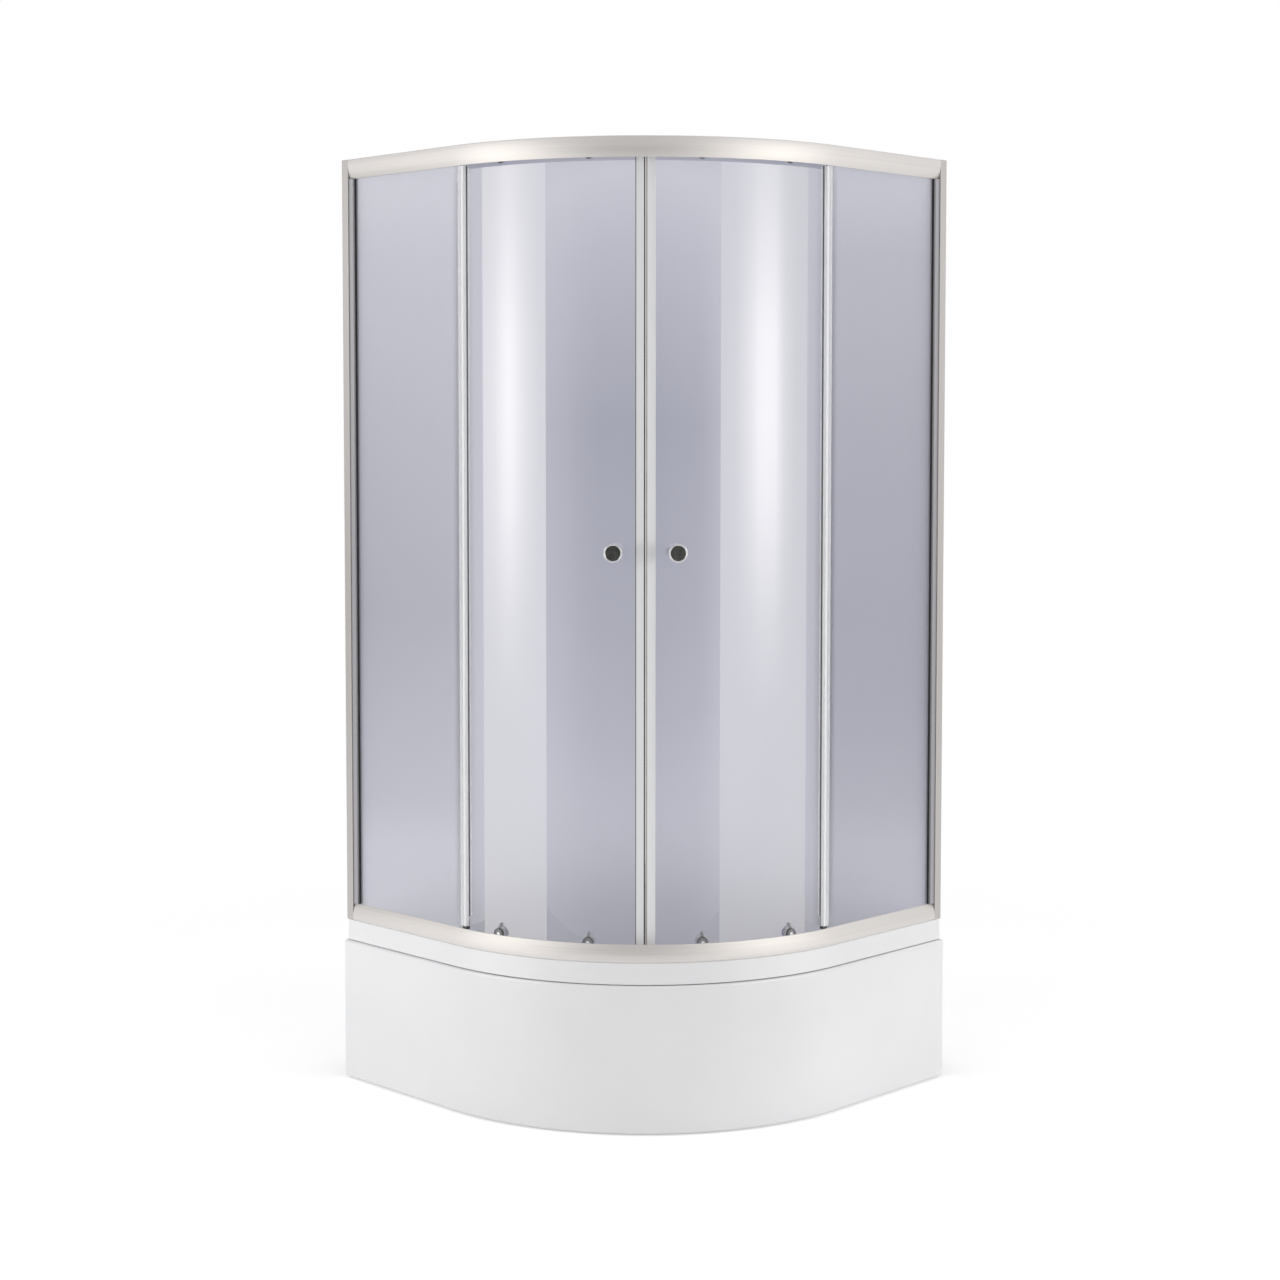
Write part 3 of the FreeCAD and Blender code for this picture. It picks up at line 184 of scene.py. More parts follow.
def vary_roughness(material, fac, low, high):
    spread = add_node(material, "MapRange", To_Min=low, To_Max=high)
    wire_up(material, fac, spread, "Value")
    wire_up(material, spread.outputs["Result"], shader_of(material), "Roughness")


def vary_colour(material, fac, dark, light, low=0.35, high=0.65):
    colours = ramp(material, fac, [(low, dark), (high, light)])
    wire_up(material, colours, shader_of(material), "Base Color")


def raise_grain(material, fac, height, strength=1.0):
    bump = add_node(material, "Bump", Strength=strength, Distance=height)
    wire_up(material, fac, bump, "Height")
    wire_up(material, bump.outputs["Normal"], shader_of(material), "Normal")


# %% [markdown]
# ## White acrylic
# Tray and apron are vacuum-formed acrylic: white, smooth, a little softer in its shine than glass, with
# the faint waviness that a formed sheet keeps. A slow noise moves the roughness and a finer one the
# surface, both so little that they only soften the edges of reflections.

# %% White acrylic
white_acrylic = new_finish("white_acrylic", IOR=1.49, Coat_Weight=0.4, Coat_Roughness=0.12)
vary_colour(white_acrylic, noise(white_acrylic, 3.0), (0.82, 0.82, 0.83), (0.86, 0.86, 0.87))
vary_roughness(white_acrylic, noise(white_acrylic, 9.0), 0.26, 0.36)
raise_grain(white_acrylic, noise(white_acrylic, 45.0, detail=1.0), 0.05 * MM)

# %% [markdown]
# ## Satin aluminium
# The profiles are drawn, brushed lengthwise and anodised. The brush lines run along each profile: level
# on the bent rails, upright on the posts. Noise stretched along the profile gives both, as lines in the
# roughness and as a very low bump. Posts and jambs carry painted shade: their colour is darker than the
# rails', because upright faces mirror more of the bright room. The jambs' own tone is darker and bluer still.

# %% Satin aluminium
ALUMINIUM = Vector((0.66, 0.635, 0.625))
JAMB_ALUMINIUM = Vector((0.52, 0.515, 0.545))
# Painted shade: the factor that darkens the upright profiles, which mirror more of the bright room.
UPRIGHT_PAINTED_SHADE = 0.8
ALONG_RAIL = (0.03, 0.03, 30.0)
ALONG_POST = (30.0, 30.0, 0.03)


def satin_aluminium(name, colour, stretch):
    finish = new_finish(name, Metallic=1.0)
    lines = noise(finish, 60.0, stretch, detail=4.0, roughness=0.6)
    vary_colour(finish, lines, colour * 0.94, colour * 1.06)
    vary_roughness(finish, lines, 0.50, 0.60)
    raise_grain(finish, lines, 0.02 * MM, 0.6)
    return finish


rail_aluminium = satin_aluminium("rail_aluminium", ALUMINIUM, ALONG_RAIL)
# Painted shade: posts and jambs take darker copies of the aluminium.
post_aluminium_painted_shade = satin_aluminium("post_aluminium_painted_shade", ALUMINIUM * UPRIGHT_PAINTED_SHADE, ALONG_POST)
jamb_aluminium_painted_shade = satin_aluminium("jamb_aluminium_painted_shade", JAMB_ALUMINIUM * UPRIGHT_PAINTED_SHADE, ALONG_POST)

# %% [markdown]
# ## Frosted glass
# The panes are grey-tinted safety glass, polished outside and etched inside. The etched face scatters the
# light from the cabin, and the polished face mirrors the soft boxes of the studio as bands. So each pane
# has two finishes: the outer faces are smooth under a dense clear coat, which mirrors more strongly than
# bare glass does, and the inner face is rough with a fine etched grain.

# %% Frosted glass
GLASS_TINT = (0.455, 0.46, 0.545, 1)


def tinted_glass(name, low, high, **coat):
    finish = new_finish(name, Base_Color=GLASS_TINT, IOR=1.52, Transmission_Weight=1.0, **coat)
    vary_roughness(finish, noise(finish, 30.0), low, high)
    return finish


polished_glass = tinted_glass("polished_glass", 0.0, 0.015,
                              Coat_Weight=1.0, Coat_Roughness=0.01, Coat_IOR=2.0)
etched_glass = tinted_glass("etched_glass", 0.5, 0.6)
raise_grain(etched_glass, noise(etched_glass, 900.0, detail=1.0), 0.03 * MM, 0.1)

# %% [markdown]
# ## Clear PVC
# The seals are extruded from clear PVC that looks milky in its thickness. Part of the light goes through
# it and the rest is scattered in it. Thin legs let more of it through than thick noses, so there are two
# grades.

# %% Clear PVC
def pvc(name, through):
    finish = new_finish(name, Base_Color=(0.97, 0.972, 0.99, 1), IOR=1.3, Transmission_Weight=through)
    die_lines = noise(finish, 12.0, (25.0, 25.0, 0.15), detail=2.0)
    vary_roughness(finish, die_lines, 0.15, 0.25)
    raise_grain(finish, die_lines, 0.006 * MM, 0.4)
    return finish


clear_pvc = pvc("clear_pvc", 0.62)
milky_pvc = pvc("milky_pvc", 0.2)

# %% [markdown]
# ## Chrome and zinc
# Knobs and waste are chromed: a mirror with a breath of smudges. The flat faces of the knobs carry a
# painted reflection: their chrome is darkened so that they look almost black inside their bright rings,
# as if they mirrored a dark room. Frame, rods and fasteners are zinc plated: paler and duller, with the
# soft patches of a bright-dipped surface.

# %% Chrome and zinc
chrome = new_finish("chrome", Base_Color=(0.86, 0.86, 0.88, 1), Metallic=1.0)
vary_roughness(chrome, noise(chrome, 120.0), 0.03, 0.09)
# Painted reflection: darkened chrome for the knob faces, standing in for a dark room mirrored in them.
knob_face_painted_reflection = new_finish("knob_face_painted_reflection", Metallic=1.0)
vary_colour(knob_face_painted_reflection, noise(knob_face_painted_reflection, 90.0), (0.20, 0.21, 0.20), (0.32, 0.33, 0.31))
vary_roughness(knob_face_painted_reflection, noise(knob_face_painted_reflection, 140.0), 0.04, 0.1)
zinc_steel = new_finish("zinc_steel", Metallic=1.0)
vary_colour(zinc_steel, noise(zinc_steel, 70.0, detail=5.0), (0.52, 0.53, 0.56), (0.70, 0.71, 0.73))
vary_roughness(zinc_steel, noise(zinc_steel, 160.0), 0.28, 0.46)
raise_grain(zinc_steel, noise(zinc_steel, 500.0), 0.02 * MM, 0.5)

# %% [markdown]
# ## Plastics, rubber and board
# The moulded pieces share one recipe: a slightly uneven colour, a soft roughness and a fine spark-eroded
# grain. The base board is chipboard, with flakes drawn by a noise that is stretched one way.

# %% Plastics, rubber and board
def moulded(name, colour, spread, low, high, grain, **sockets):
    finish = new_finish(name, **sockets)
    dark = tuple(c * (1 - spread) for c in colour)
    light = tuple(c * (1 + spread) for c in colour)
    vary_colour(finish, noise(finish, 25.0), dark, light)
    vary_roughness(finish, noise(finish, 90.0), low, high)
    raise_grain(finish, noise(finish, 1400.0, detail=1.0), grain, 0.5)
    return finish


dark_plastic = moulded("dark_plastic", (0.045, 0.045, 0.05), 0.15, 0.45, 0.6, 0.04 * MM)
white_plastic = moulded("white_plastic", (0.78, 0.78, 0.77), 0.03, 0.38, 0.5, 0.03 * MM)
grey_plastic = moulded("grey_plastic", (0.30, 0.30, 0.315), 0.08, 0.35, 0.5, 0.03 * MM)
black_rubber = moulded("black_rubber", (0.02, 0.02, 0.021), 0.2, 0.55, 0.75, 0.05 * MM,
                       Specular_IOR_Level=0.3)
magnet_strip = moulded("magnet_strip", (0.05, 0.042, 0.038), 0.2, 0.4, 0.55, 0.02 * MM)
counter_strip = moulded("counter_strip", (0.42, 0.39, 0.375), 0.1, 0.4, 0.55, 0.02 * MM)
pale_nylon = moulded("pale_nylon", (0.56, 0.56, 0.58), 0.05, 0.35, 0.5, 0.03 * MM)
grey_rubber = moulded("grey_rubber", (0.11, 0.11, 0.12), 0.15, 0.5, 0.65, 0.03 * MM)
chipboard = new_finish("chipboard", Specular_IOR_Level=0.25)
flakes = noise(chipboard, 160.0, (1.0, 0.35, 1.0), detail=6.0, roughness=0.7)
vary_colour(chipboard, flakes, (0.30, 0.20, 0.11), (0.66, 0.50, 0.31), 0.3, 0.7)
vary_roughness(chipboard, noise(chipboard, 200.0), 0.7, 0.9)
raise_grain(chipboard, flakes, 0.15 * MM, 0.7)

# %% [markdown]
# ## Finishes on the frame
# Every CAD node gets the finish of its material slot. Pieces that are modelled afresh later hide theirs.

# %% Give every CAD node its finish
FINISHES = {
    "white_acrylic": white_acrylic, "chipboard": chipboard, "zinc_steel": zinc_steel,
    "dark_plastic": dark_plastic, "chrome": chrome, "white_plastic": white_plastic,
    "satin_aluminium": post_aluminium_painted_shade, "frosted_glass": polished_glass, "clear_pvc": clear_pvc,
    "black_rubber": black_rubber, "grey_plastic": grey_plastic,
}
SLOT_OF = {part["node"]: part["material_slot"] for part in frame["record"]["subparts"]}
for node, slot in SLOT_OF.items():
    for place in frame["nodes"][node].material_slots:
        place.material = FINISHES[slot]
print("finishes:", len(FINISHES), "on", len(SLOT_OF), "nodes")

# %% [markdown]
# ## From a sketch to a piece
# Most pieces are a flat sketch that is swept, pushed or turned. The sketch is one face with its corners
# rounded by a vertex bevel. Sweeping it keeps every round exact, because only the flat sketch is worked on.
# Smooth shading alone would tilt the large faces towards their small rounds and bend every reflection, so
# a Weighted Normal modifier lets the large faces set the shading.

# %% Helpers for modelling
SMOOTH_ANGLE = math.radians(35)
SHARP_ANGLE = math.radians(50)
WELD = 0.005 * MM


def verts_of(geom):
    return [item for item in geom if isinstance(item, bmesh.types.BMVert)]


def faces_of(geom):
    return [item for item in geom if isinstance(item, bmesh.types.BMFace)]


def everything(bm):
    return bm.verts[:] + bm.edges[:] + bm.faces[:]


def round_off(bm, geom, offset, segments, affect="EDGES", clamp=False):
    bmesh.ops.bevel(bm, geom=geom, offset=offset, segments=segments, profile=0.5, affect=affect,
                    material=-1, clamp_overlap=clamp)


def soften(bm, offset, limit=SHARP_ANGLE, clamp=False):
    """Bevel every edge that is sharper than the limit."""
    sharp = [edge for edge in bm.edges if edge.calc_face_angle(0.0) > limit]
    round_off(bm, sharp, offset, 2, clamp=clamp)


def sketch(bm, corners, to_space):
    """A face through corners (u, v), each with an optional rounding (u, v, offset, segments)."""
    known = set(bm.faces)
    rounds = {}
    verts = []
    for corner in corners:
        vert = bm.verts.new(to_space(*corner[:2]))
        verts.append(vert)
        if len(corner) > 2:
            rounds.setdefault(corner[2:], []).append(vert)
    bm.faces.new(verts)
    for (offset, segments), group in rounds.items():
        round_off(bm, group, offset, segments, "VERTICES")
    return [face for face in bm.faces if face not in known]


def push(bm, faces, vector):
    """Extrude faces along a vector and return the new end faces."""
    made = bmesh.ops.extrude_face_region(bm, geom=faces)["geom"]
    bmesh.ops.translate(bm, verts=verts_of(made), vec=vector)
    return faces_of(made)


def bend_round(bm, geom, angle, steps):
    """Spin things about the cabin's bend axis and return what the spin ends in."""
    made = bmesh.ops.spin(bm, geom=geom, cent=BEND, axis=(0, 0, 1), angle=angle, steps=steps)
    return made["geom_last"]


def turn(bm, corners, steps):
    """Turn a half outline of (along, radius) corners about the X axis."""
    faces = sketch(bm, corners, lambda along, radius: (along, 0, radius))
    edges = list(faces[0].edges)
    axis = [edge for edge in edges if max(vert.co.z for vert in edge.verts) < WELD]
    outline = [edge for edge in edges if edge not in axis]
    bmesh.ops.delete(bm, geom=faces, context="FACES_ONLY")
    bmesh.ops.delete(bm, geom=axis, context="EDGES")
    bmesh.ops.spin(bm, geom=outline, cent=(0, 0, 0), axis=(1, 0, 0), angle=math.tau, steps=steps,
                   use_merge=True)
    bmesh.ops.remove_doubles(bm, verts=bm.verts, dist=WELD)


def circle_edges(bm, segments, radius, centre):
    place = Matrix.Translation(centre)
    made = bmesh.ops.create_circle(bm, segments=segments, radius=radius, matrix=place)
    return list(dict.fromkeys(edge for vert in made["verts"] for edge in vert.link_edges))


def bridge(bm, rings):
    """Join each ring of edges to the next one by a band of faces."""
    for first, second in zip(rings, rings[1:]):
        bmesh.ops.bridge_loops(bm, edges=first + second)


def cut(bm, point, normal, clear_outer=False):
    bmesh.ops.bisect_plane(bm, geom=everything(bm), plane_co=point, plane_no=normal,
                           clear_outer=clear_outer)


def paint(bm, index, chosen):
    """Give the faces whose middle is chosen another one of their piece's finishes."""
    for face in bm.faces:
        if chosen(face.calc_center_median()):
            face.material_index = index


def move(bm, matrix):
    bmesh.ops.transform(bm, matrix=matrix, verts=bm.verts)


def add_copies(bm, part, *places):
    """Put copies of a small mesh into a larger one, and free the small one."""
    spare = bpy.data.meshes.new("spare")
    for place in places:
        copy = part.copy()
        move(copy, place)
        copy.to_mesh(spare)
        copy.free()
        bm.from_mesh(spare)
    part.free()
    bpy.data.meshes.remove(spare)


def finish_piece(bm, name, body, slot, finishes, *nodes):
    """Close the mesh, make it an object that rides on a body and let it stand for CAD nodes."""
    bmesh.ops.remove_doubles(bm, verts=bm.verts, dist=WELD)
    bmesh.ops.recalc_face_normals(bm, faces=bm.faces)
    mesh = bpy.data.meshes.new(name)
    bm.to_mesh(mesh)
    bm.free()
    mesh.shade_smooth()
    mesh.set_sharp_from_angle(angle=SMOOTH_ANGLE)
    for finish in finishes:
        mesh.materials.append(finish)
    piece = bpy.data.objects.new(name, mesh)
    bpy.context.scene.collection.objects.link(piece)
    piece.modifiers.new("even_shading", "WEIGHTED_NORMAL").keep_sharp = True
    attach(piece, body)
    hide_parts(*nodes)
    print(name, len(mesh.polygons), "faces on", body)
    return piece


# %% [markdown]
# ## Apron and rails
# These are long profiles that run straight along a side, round the front and straight along the other
# side. A curve with a bevel object could carry the section, but a push, a spin and a push follow the true
# line and radius, and give an even mesh for reflections.

# %% Sweep along the front
FRONT_STEPS = 60


def sweep_front(bm, corners, end_gap):
    """Carry a sketch in (depth, height) along the right side, round the front and along the left side."""
    run = STRAIGHT - end_gap
    section = sketch(bm, corners, lambda depth, z: (HALF - depth, WALL - end_gap, z))
    end = push(bm, section, (0, -run, 0))
    end = faces_of(bend_round(bm, end, -RIGHT_ANGLE, FRONT_STEPS))
    push(bm, end, (-run, 0, 0))


# %% Apron panel
APRON_WALL = 4 * MM
APRON_ROUND = 6 * MM
APRON_FLANGE = 24 * MM
apron_foot, apron_top = (corner.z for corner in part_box("apron_panel"))
bm = bmesh.new()
sweep_front(bm, [
    (0, apron_foot, 0.8 * MM, 2),
    (0, apron_top, APRON_ROUND, 8),
    (APRON_FLANGE, apron_top, 0.5 * MM, 2),
    (APRON_FLANGE, apron_top - APRON_WALL, 0.5 * MM, 2),
    (APRON_WALL, apron_top - APRON_WALL, APRON_ROUND - APRON_WALL, 4),
    (APRON_WALL, apron_foot + APRON_WALL, 1.5 * MM, 3),
    (APRON_FLANGE, apron_foot + APRON_WALL, 0.5 * MM, 2),
    (APRON_FLANGE, apron_foot, 0.5 * MM, 2),
], 0.0)
finish_piece(bm, "apron", "cabin", "white_acrylic", [white_acrylic], "apron_panel")

# %% [markdown]
# The rails are one drawn profile, used upside down at the bottom: a convex skirt outside, a web, a
# partition behind the side panes and a ledge that the rollers run on. The convex skirt is a single
# corner far outside it, rounded with a bevel almost as long as its two legs. The doors would mirror the
# dark inside of the bottom rail as a black hem, so glossy rays pass it by.

# %% Rails
RAIL_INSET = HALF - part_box("top_rail")[1].x
RAIL_DEPTH = 49 * MM
RAIL_WALL = 1.8 * MM
RAIL_SETBACK = 6.5 * MM
RAIL_CROWN = 2.5 * MM
CROWN_SHARE = 0.85
RAIL_EDGE = 2.0 * MM
RAIL_LIP = 10 * MM
PARTITION = 15.1 * MM
PARTITION_WALL = 1.5 * MM
PARTITION_REACH = 29 * MM
LEDGE_END = 29 * MM
RAIL_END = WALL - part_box("top_rail")[1].y
ARRIS = 0.4 * MM


def rail(name, base, up, height, ledge):
    """One rail; heights run from the web's outer face towards the glass."""
    def at(depth, h, *rounding):
        return (RAIL_INSET + depth, base + up * h, *rounding)

    channel = PARTITION + PARTITION_WALL
    crown = RAIL_SETBACK / 2 - 2 * RAIL_CROWN
    crown_half = (height - RAIL_EDGE) / 2
    middle = RAIL_EDGE + crown_half
    bow = CROWN_SHARE * crown_half
    bm = bmesh.new()
    sweep_front(bm, [
        at(0, 0, RAIL_EDGE, 5),
        at(RAIL_DEPTH, 0, ARRIS, 2),
        at(RAIL_DEPTH, RAIL_LIP, ARRIS, 2),
        at(RAIL_DEPTH - RAIL_WALL, RAIL_LIP, ARRIS, 2),
        at(RAIL_DEPTH - RAIL_WALL, RAIL_WALL),
        at(channel, RAIL_WALL),
        at(channel, ledge),
        at(LEDGE_END, ledge, ARRIS, 2),
        at(LEDGE_END, ledge + RAIL_WALL, ARRIS, 2),
        at(channel, ledge + RAIL_WALL),
        at(channel, PARTITION_REACH, ARRIS, 2),
        at(PARTITION, PARTITION_REACH, ARRIS, 2),
        at(PARTITION, RAIL_WALL),
        at(RAIL_WALL, RAIL_WALL),
        at(crown + RAIL_WALL, middle, bow, 10),
        at(RAIL_SETBACK + RAIL_WALL, height, ARRIS, 2),
        at(RAIL_SETBACK, height, ARRIS, 2),
        at(crown, middle, bow, 10),
    ], RAIL_END)
    return finish_piece(bm, name + "_profile", "cabin", "satin_aluminium", [rail_aluminium], name)


rail("top_rail", SCREEN_TOP, up=-1, height=40 * MM, ledge=20 * MM)
lower = rail("bottom_rail", TRAY_TOP, up=1, height=35 * MM, ledge=18.8 * MM)
lower.visible_glossy = False

# %% [markdown]
# ## Tray
# The tray is one vacuum-formed sheet: a rim that stands on the apron, a rounded mouth, drafted walls, a
# wide fillet to the floor and a shallow sump round the drain. It could be carved with booleans, but a
# formed sheet is a stack of outlines. Each outline is drawn once, neighbours are bridged, and the whole
# sheet gets its thickness at the end.

# %% Tray outlines
SHELL = 5 * MM
RIM_TOP_INSET = 7 * MM
RIM_FOOT_INSET = 4 * MM
RIM_FOOT = TRAY_TOP - 42 * MM
RIM_CORNER = 8 * MM
RIM_ROUND = 2 * MM
MOUTH_WALL = 55 * MM
MOUTH_FRONT = 62 * MM
MOUTH_CORNER = 70 * MM
MOUTH_ROUND = 9 * MM
BASIN_FLOOR = 130 * MM
BASIN_TAPER = 28 * MM
BASIN_DRAFT = math.atan(BASIN_TAPER / (TRAY_TOP - BASIN_FLOOR))
FLOOR_ROUND = 32 * MM
RIM_STEPS, MOUTH_STEPS, FLOOR_STEPS = 3, 7, 9
CORNER_SEGMENTS = 14


def tray_ring(bm, wall, front, corner, z):
    """Edges of the tray's outline at one height: straight at the walls, round at the front."""
    older = set(bm.edges)
    right = HALF - front
    back = WALL - wall
    start = bm.verts.new((right, BEND.y, z))
    end = verts_of(bend_round(bm, [start], -RIGHT_ANGLE, FRONT_STEPS))[0]
    corners = [bm.verts.new(point) for point in ((-back, -right, z), (-back, back, z), (right, back, z))]
    path = [end, *corners, start]
    for pair in zip(path, path[1:]):
        bm.edges.new(pair)
    bmesh.ops.edgeloop_fill(bm, edges=[edge for edge in bm.edges if edge not in older])
    round_off(bm, corners, corner, CORNER_SEGMENTS, "VERTICES")
    faces = bm.faces[:]
    edges = list(faces[0].edges)
    bmesh.ops.delete(bm, geom=faces, context="FACES_ONLY")
    return edges


def basin_ring(bm, inset, z):
    """Outline inside the basin; the inset is measured at the walls and carries front and corners along."""
    return tray_ring(bm, inset, inset + MOUTH_FRONT - MOUTH_WALL, MOUTH_CORNER + MOUTH_WALL - inset, z)


# %% Tray skin
bm = bmesh.new()
rings = [
    tray_ring(bm, 0, RIM_FOOT_INSET, RIM_CORNER, RIM_FOOT),
    tray_ring(bm, 0, RIM_TOP_INSET, RIM_CORNER, TRAY_TOP - RIM_ROUND),
]
for step in range(1, RIM_STEPS + 1):
    angle = RIGHT_ANGLE * step / RIM_STEPS
    inset = RIM_ROUND * (1 - math.cos(angle))
    height = TRAY_TOP - RIM_ROUND * (1 - math.sin(angle))
    rings.append(tray_ring(bm, inset, RIM_TOP_INSET + inset, RIM_CORNER, height))
bend = RIGHT_ANGLE - BASIN_DRAFT
mouth_start = MOUTH_WALL - MOUTH_ROUND * math.tan(bend / 2)
for step in range(MOUTH_STEPS + 1):
    angle = bend * step / MOUTH_STEPS
    inset = mouth_start + MOUTH_ROUND * math.sin(angle)
    rings.append(basin_ring(bm, inset, TRAY_TOP - MOUTH_ROUND * (1 - math.cos(angle))))
floor_end = MOUTH_WALL + BASIN_TAPER + FLOOR_ROUND * math.tan(bend / 2)
for step in range(FLOOR_STEPS + 1):
    angle = BASIN_DRAFT + bend * step / FLOOR_STEPS
    inset = floor_end - FLOOR_ROUND * math.cos(angle)
    rings.append(basin_ring(bm, inset, BASIN_FLOOR + FLOOR_ROUND * (1 - math.sin(angle))))
bridge(bm, rings)
print("tray skin:", len(rings), "outlines,", len(bm.faces), "faces")

# %% [markdown]
# The sump is turned: circles round the drain, from the floor down to the drain hole, bridged as the
# outlines were. A triangle fill closes the flat floor between the last outline and the first circle.

# %% Sump, thickness and finish
DRAIN = Vector((-220 * MM, 220 * MM, 0))
SUMP = [(98, 130.0), (95, 129.6), (91, 128.8), (66, 122.8), (62, 122.2), (57, 122.0), (45, 122.0)]
circles = [circle_edges(bm, 72, radius * MM, DRAIN + Vector((0, 0, z * MM))) for radius, z in SUMP]
bridge(bm, circles)
bmesh.ops.triangle_fill(bm, edges=rings[-1] + circles[0], use_beauty=True)
bmesh.ops.remove_doubles(bm, verts=bm.verts, dist=WELD)
bmesh.ops.recalc_face_normals(bm, faces=bm.faces)
floor_faces = [face for face in bm.faces if abs(face.calc_center_median().z - BASIN_FLOOR) < WELD]
if sum(face.normal.z for face in floor_faces) < 0:
    bmesh.ops.reverse_faces(bm, faces=bm.faces)
bmesh.ops.solidify(bm, geom=bm.faces[:], thickness=SHELL)
finish_piece(bm, "tray", "cabin", "white_acrylic", [white_acrylic], "tray_basin")

# %% [markdown]
# ## Glass
# Each door pane is a strip bent about the same axis as the rails. Its arrises are ground, so every edge
# gets a small bevel. The faces that look into the cabin take the etched finish. A renderer counts
# refracting surfaces as opaque to lamps, so the panes cast no shadow and the white tray behind them stays
# lit. The side panes also stay out of the doors' reflections, which show the room instead.

# %% Panes
GROUND_EDGE = 0.8 * MM
DOOR_STEPS = 44
GLASS = 5 * MM
SEAM_ANGLE = math.radians(45)
DOOR_OVERLAP = 14 * MM
SEAL_ROOM = 9.6 * MM
SKIN = 0.2 * MM


def plan_radius(point):
    return (Vector(point[:2]) - BEND.xy).length


def glaze(bm, is_inside, mirror, name, body, node):
    """Grind the edges of a pane, etch its inside and put it on its side of the cabin."""
    soften(bm, GROUND_EDGE)
    paint(bm, 1, is_inside)
    move(bm, mirror)
    pane = finish_piece(bm, name, body, "frosted_glass", [polished_glass, etched_glass], node)
    pane.visible_shadow = False
    return pane


door_start = -DOOR_OVERLAP / DOOR_RADIUS
door_end = SEAM_ANGLE - SEAL_ROOM / DOOR_RADIUS
door_back = DOOR_RADIUS - GLASS
pane_low, pane_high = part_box("fixed_glass_right")
for side, mirror in SIDES.items():
    bm = bmesh.new()
    section = sketch(bm, [
        (door_back, DOOR_FOOT), (DOOR_RADIUS, DOOR_FOOT), (DOOR_RADIUS, DOOR_TOP), (door_back, DOOR_TOP),
    ], lambda radius, z: BEND + Vector((radius * math.cos(door_start), -radius * math.sin(door_start), z)))
    bend_round(bm, section, door_start - door_end, DOOR_STEPS)
    glaze(bm, lambda middle: plan_radius(middle) < door_back + SKIN, mirror,
          "door_pane_" + side, side + "_door", "door_glass_" + side)

    bm = bmesh.new()
    section = sketch(bm, [
        (pane_low.x, pane_low.y), (pane_high.x, pane_low.y),
        (pane_high.x, pane_high.y), (pane_low.x, pane_high.y),
    ], lambda x, y: (x, y, pane_low.z))
    push(bm, section, (0, 0, pane_high.z - pane_low.z))
    pane = glaze(bm, lambda middle: middle.x < pane_low.x + SKIN, mirror,
                 "side_pane_" + side, "cabin", "fixed_glass_" + side)
    pane.visible_glossy = False

# %% [markdown]
# ## Knobs
# The knobs are turned brass, chromed: a round foot on the glass, a slightly waisted drum and a flat face
# inside a narrow ring. The face carries a painted reflection: a darkened chrome that stands in for the dark
# room it would mirror. Turning a half outline is the way a lathe makes them too. The faces of the disc
# are found by their place on the axis before the knob is moved to its door.

# %% Knobs
KNOB_Z = sum(corner.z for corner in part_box("knob_outer_right")) / 2
KNOB_FROM_SEAM = 60 * MM
KNOB_ANGLE = SEAM_ANGLE - KNOB_FROM_SEAM / DOOR_RADIUS
KNOB_SEAT = 0.3 * MM
KNOB_RING = 2.2 * MM
KNOB_SINK = 0.7 * MM
KNOB_FOOT_STEP = 2 * MM
KNOB_WAIST_STEP = 4 * MM
KNOB_WAIST_PLACE = 0.4
KNOB_HEAD = 5 * MM
KNOB_FINISHES = [chrome, knob_face_painted_reflection]


def turn_knob(bm, length, radius):
    """A knob on the X axis, foot at the origin, with its sunk face in the second finish."""
    face_radius = radius - KNOB_RING - KNOB_SINK
    face_place = length - KNOB_SINK
    turn(bm, [
        (0, 0), (0, radius - KNOB_FOOT_STEP, 0.8 * MM, 4),
        (KNOB_WAIST_PLACE * length, radius - KNOB_WAIST_STEP, 6 * MM, 8),
        (length - KNOB_HEAD, radius, 2 * MM, 6), (length, radius, 1.2 * MM, 6),
        (length, radius - KNOB_RING, 0.3 * MM, 3), (face_place, face_radius, 0.3 * MM, 3), (face_place, 0),
    ], 72)
    # The sunk face takes the second finish, a painted reflection.
    paint(bm, 1, lambda middle: abs(middle.x - face_place) < SKIN / 2 and middle.yz.length < face_radius)


def on_front(angle, radius, z):
    """Placement of a piece built on +X at the origin: turned to its angle and carried out to a radius."""
    return Matrix.Translation(BEND) @ Matrix.Rotation(-angle, 4, "Z") @ Matrix.Translation((radius, 0, z))


HALF_TURN = Matrix.Rotation(math.pi, 4, "Z")
for side, mirror in SIDES.items():
    bm = bmesh.new()
    turn_knob(bm, length=30 * MM, radius=18.2 * MM)
    move(bm, mirror @ on_front(KNOB_ANGLE, DOOR_RADIUS + KNOB_SEAT, KNOB_Z))
    finish_piece(bm, "knob_" + side, side + "_door", "chrome", KNOB_FINISHES, "knob_outer_" + side)
    bm = bmesh.new()
    turn_knob(bm, length=22 * MM, radius=15 * MM)
    move(bm, mirror @ on_front(KNOB_ANGLE, door_back - KNOB_SEAT, KNOB_Z) @ HALF_TURN)
    finish_piece(bm, "inside_knob_" + side, side + "_door", "chrome", KNOB_FINISHES, "knob_inner_" + side)

# %% [markdown]
# ## Rollers
# Every door hangs on two small rollers and is guided by two larger ones below. They are moulded in grey
# nylon with a sunk web, and a darker tyre runs round them. Their places come from the joints, and each
# roller rides on the body of its own wheel.

# %% Rollers
WHEEL_WIDTH = 5 * MM
TREAD = 0.8 * MM
TYRE = 1.4 * MM
WHEEL_RIM = 1.6 * MM
WHEEL_BORE = 2.8 * MM
HUB_RADIUS = 5.0 * MM
HUB_BORE = 4.3 * MM
WEB_SINK = 0.7 * MM
HEAD_SINK = 2 * MM
BRIM = (0.2 * MM, 2)


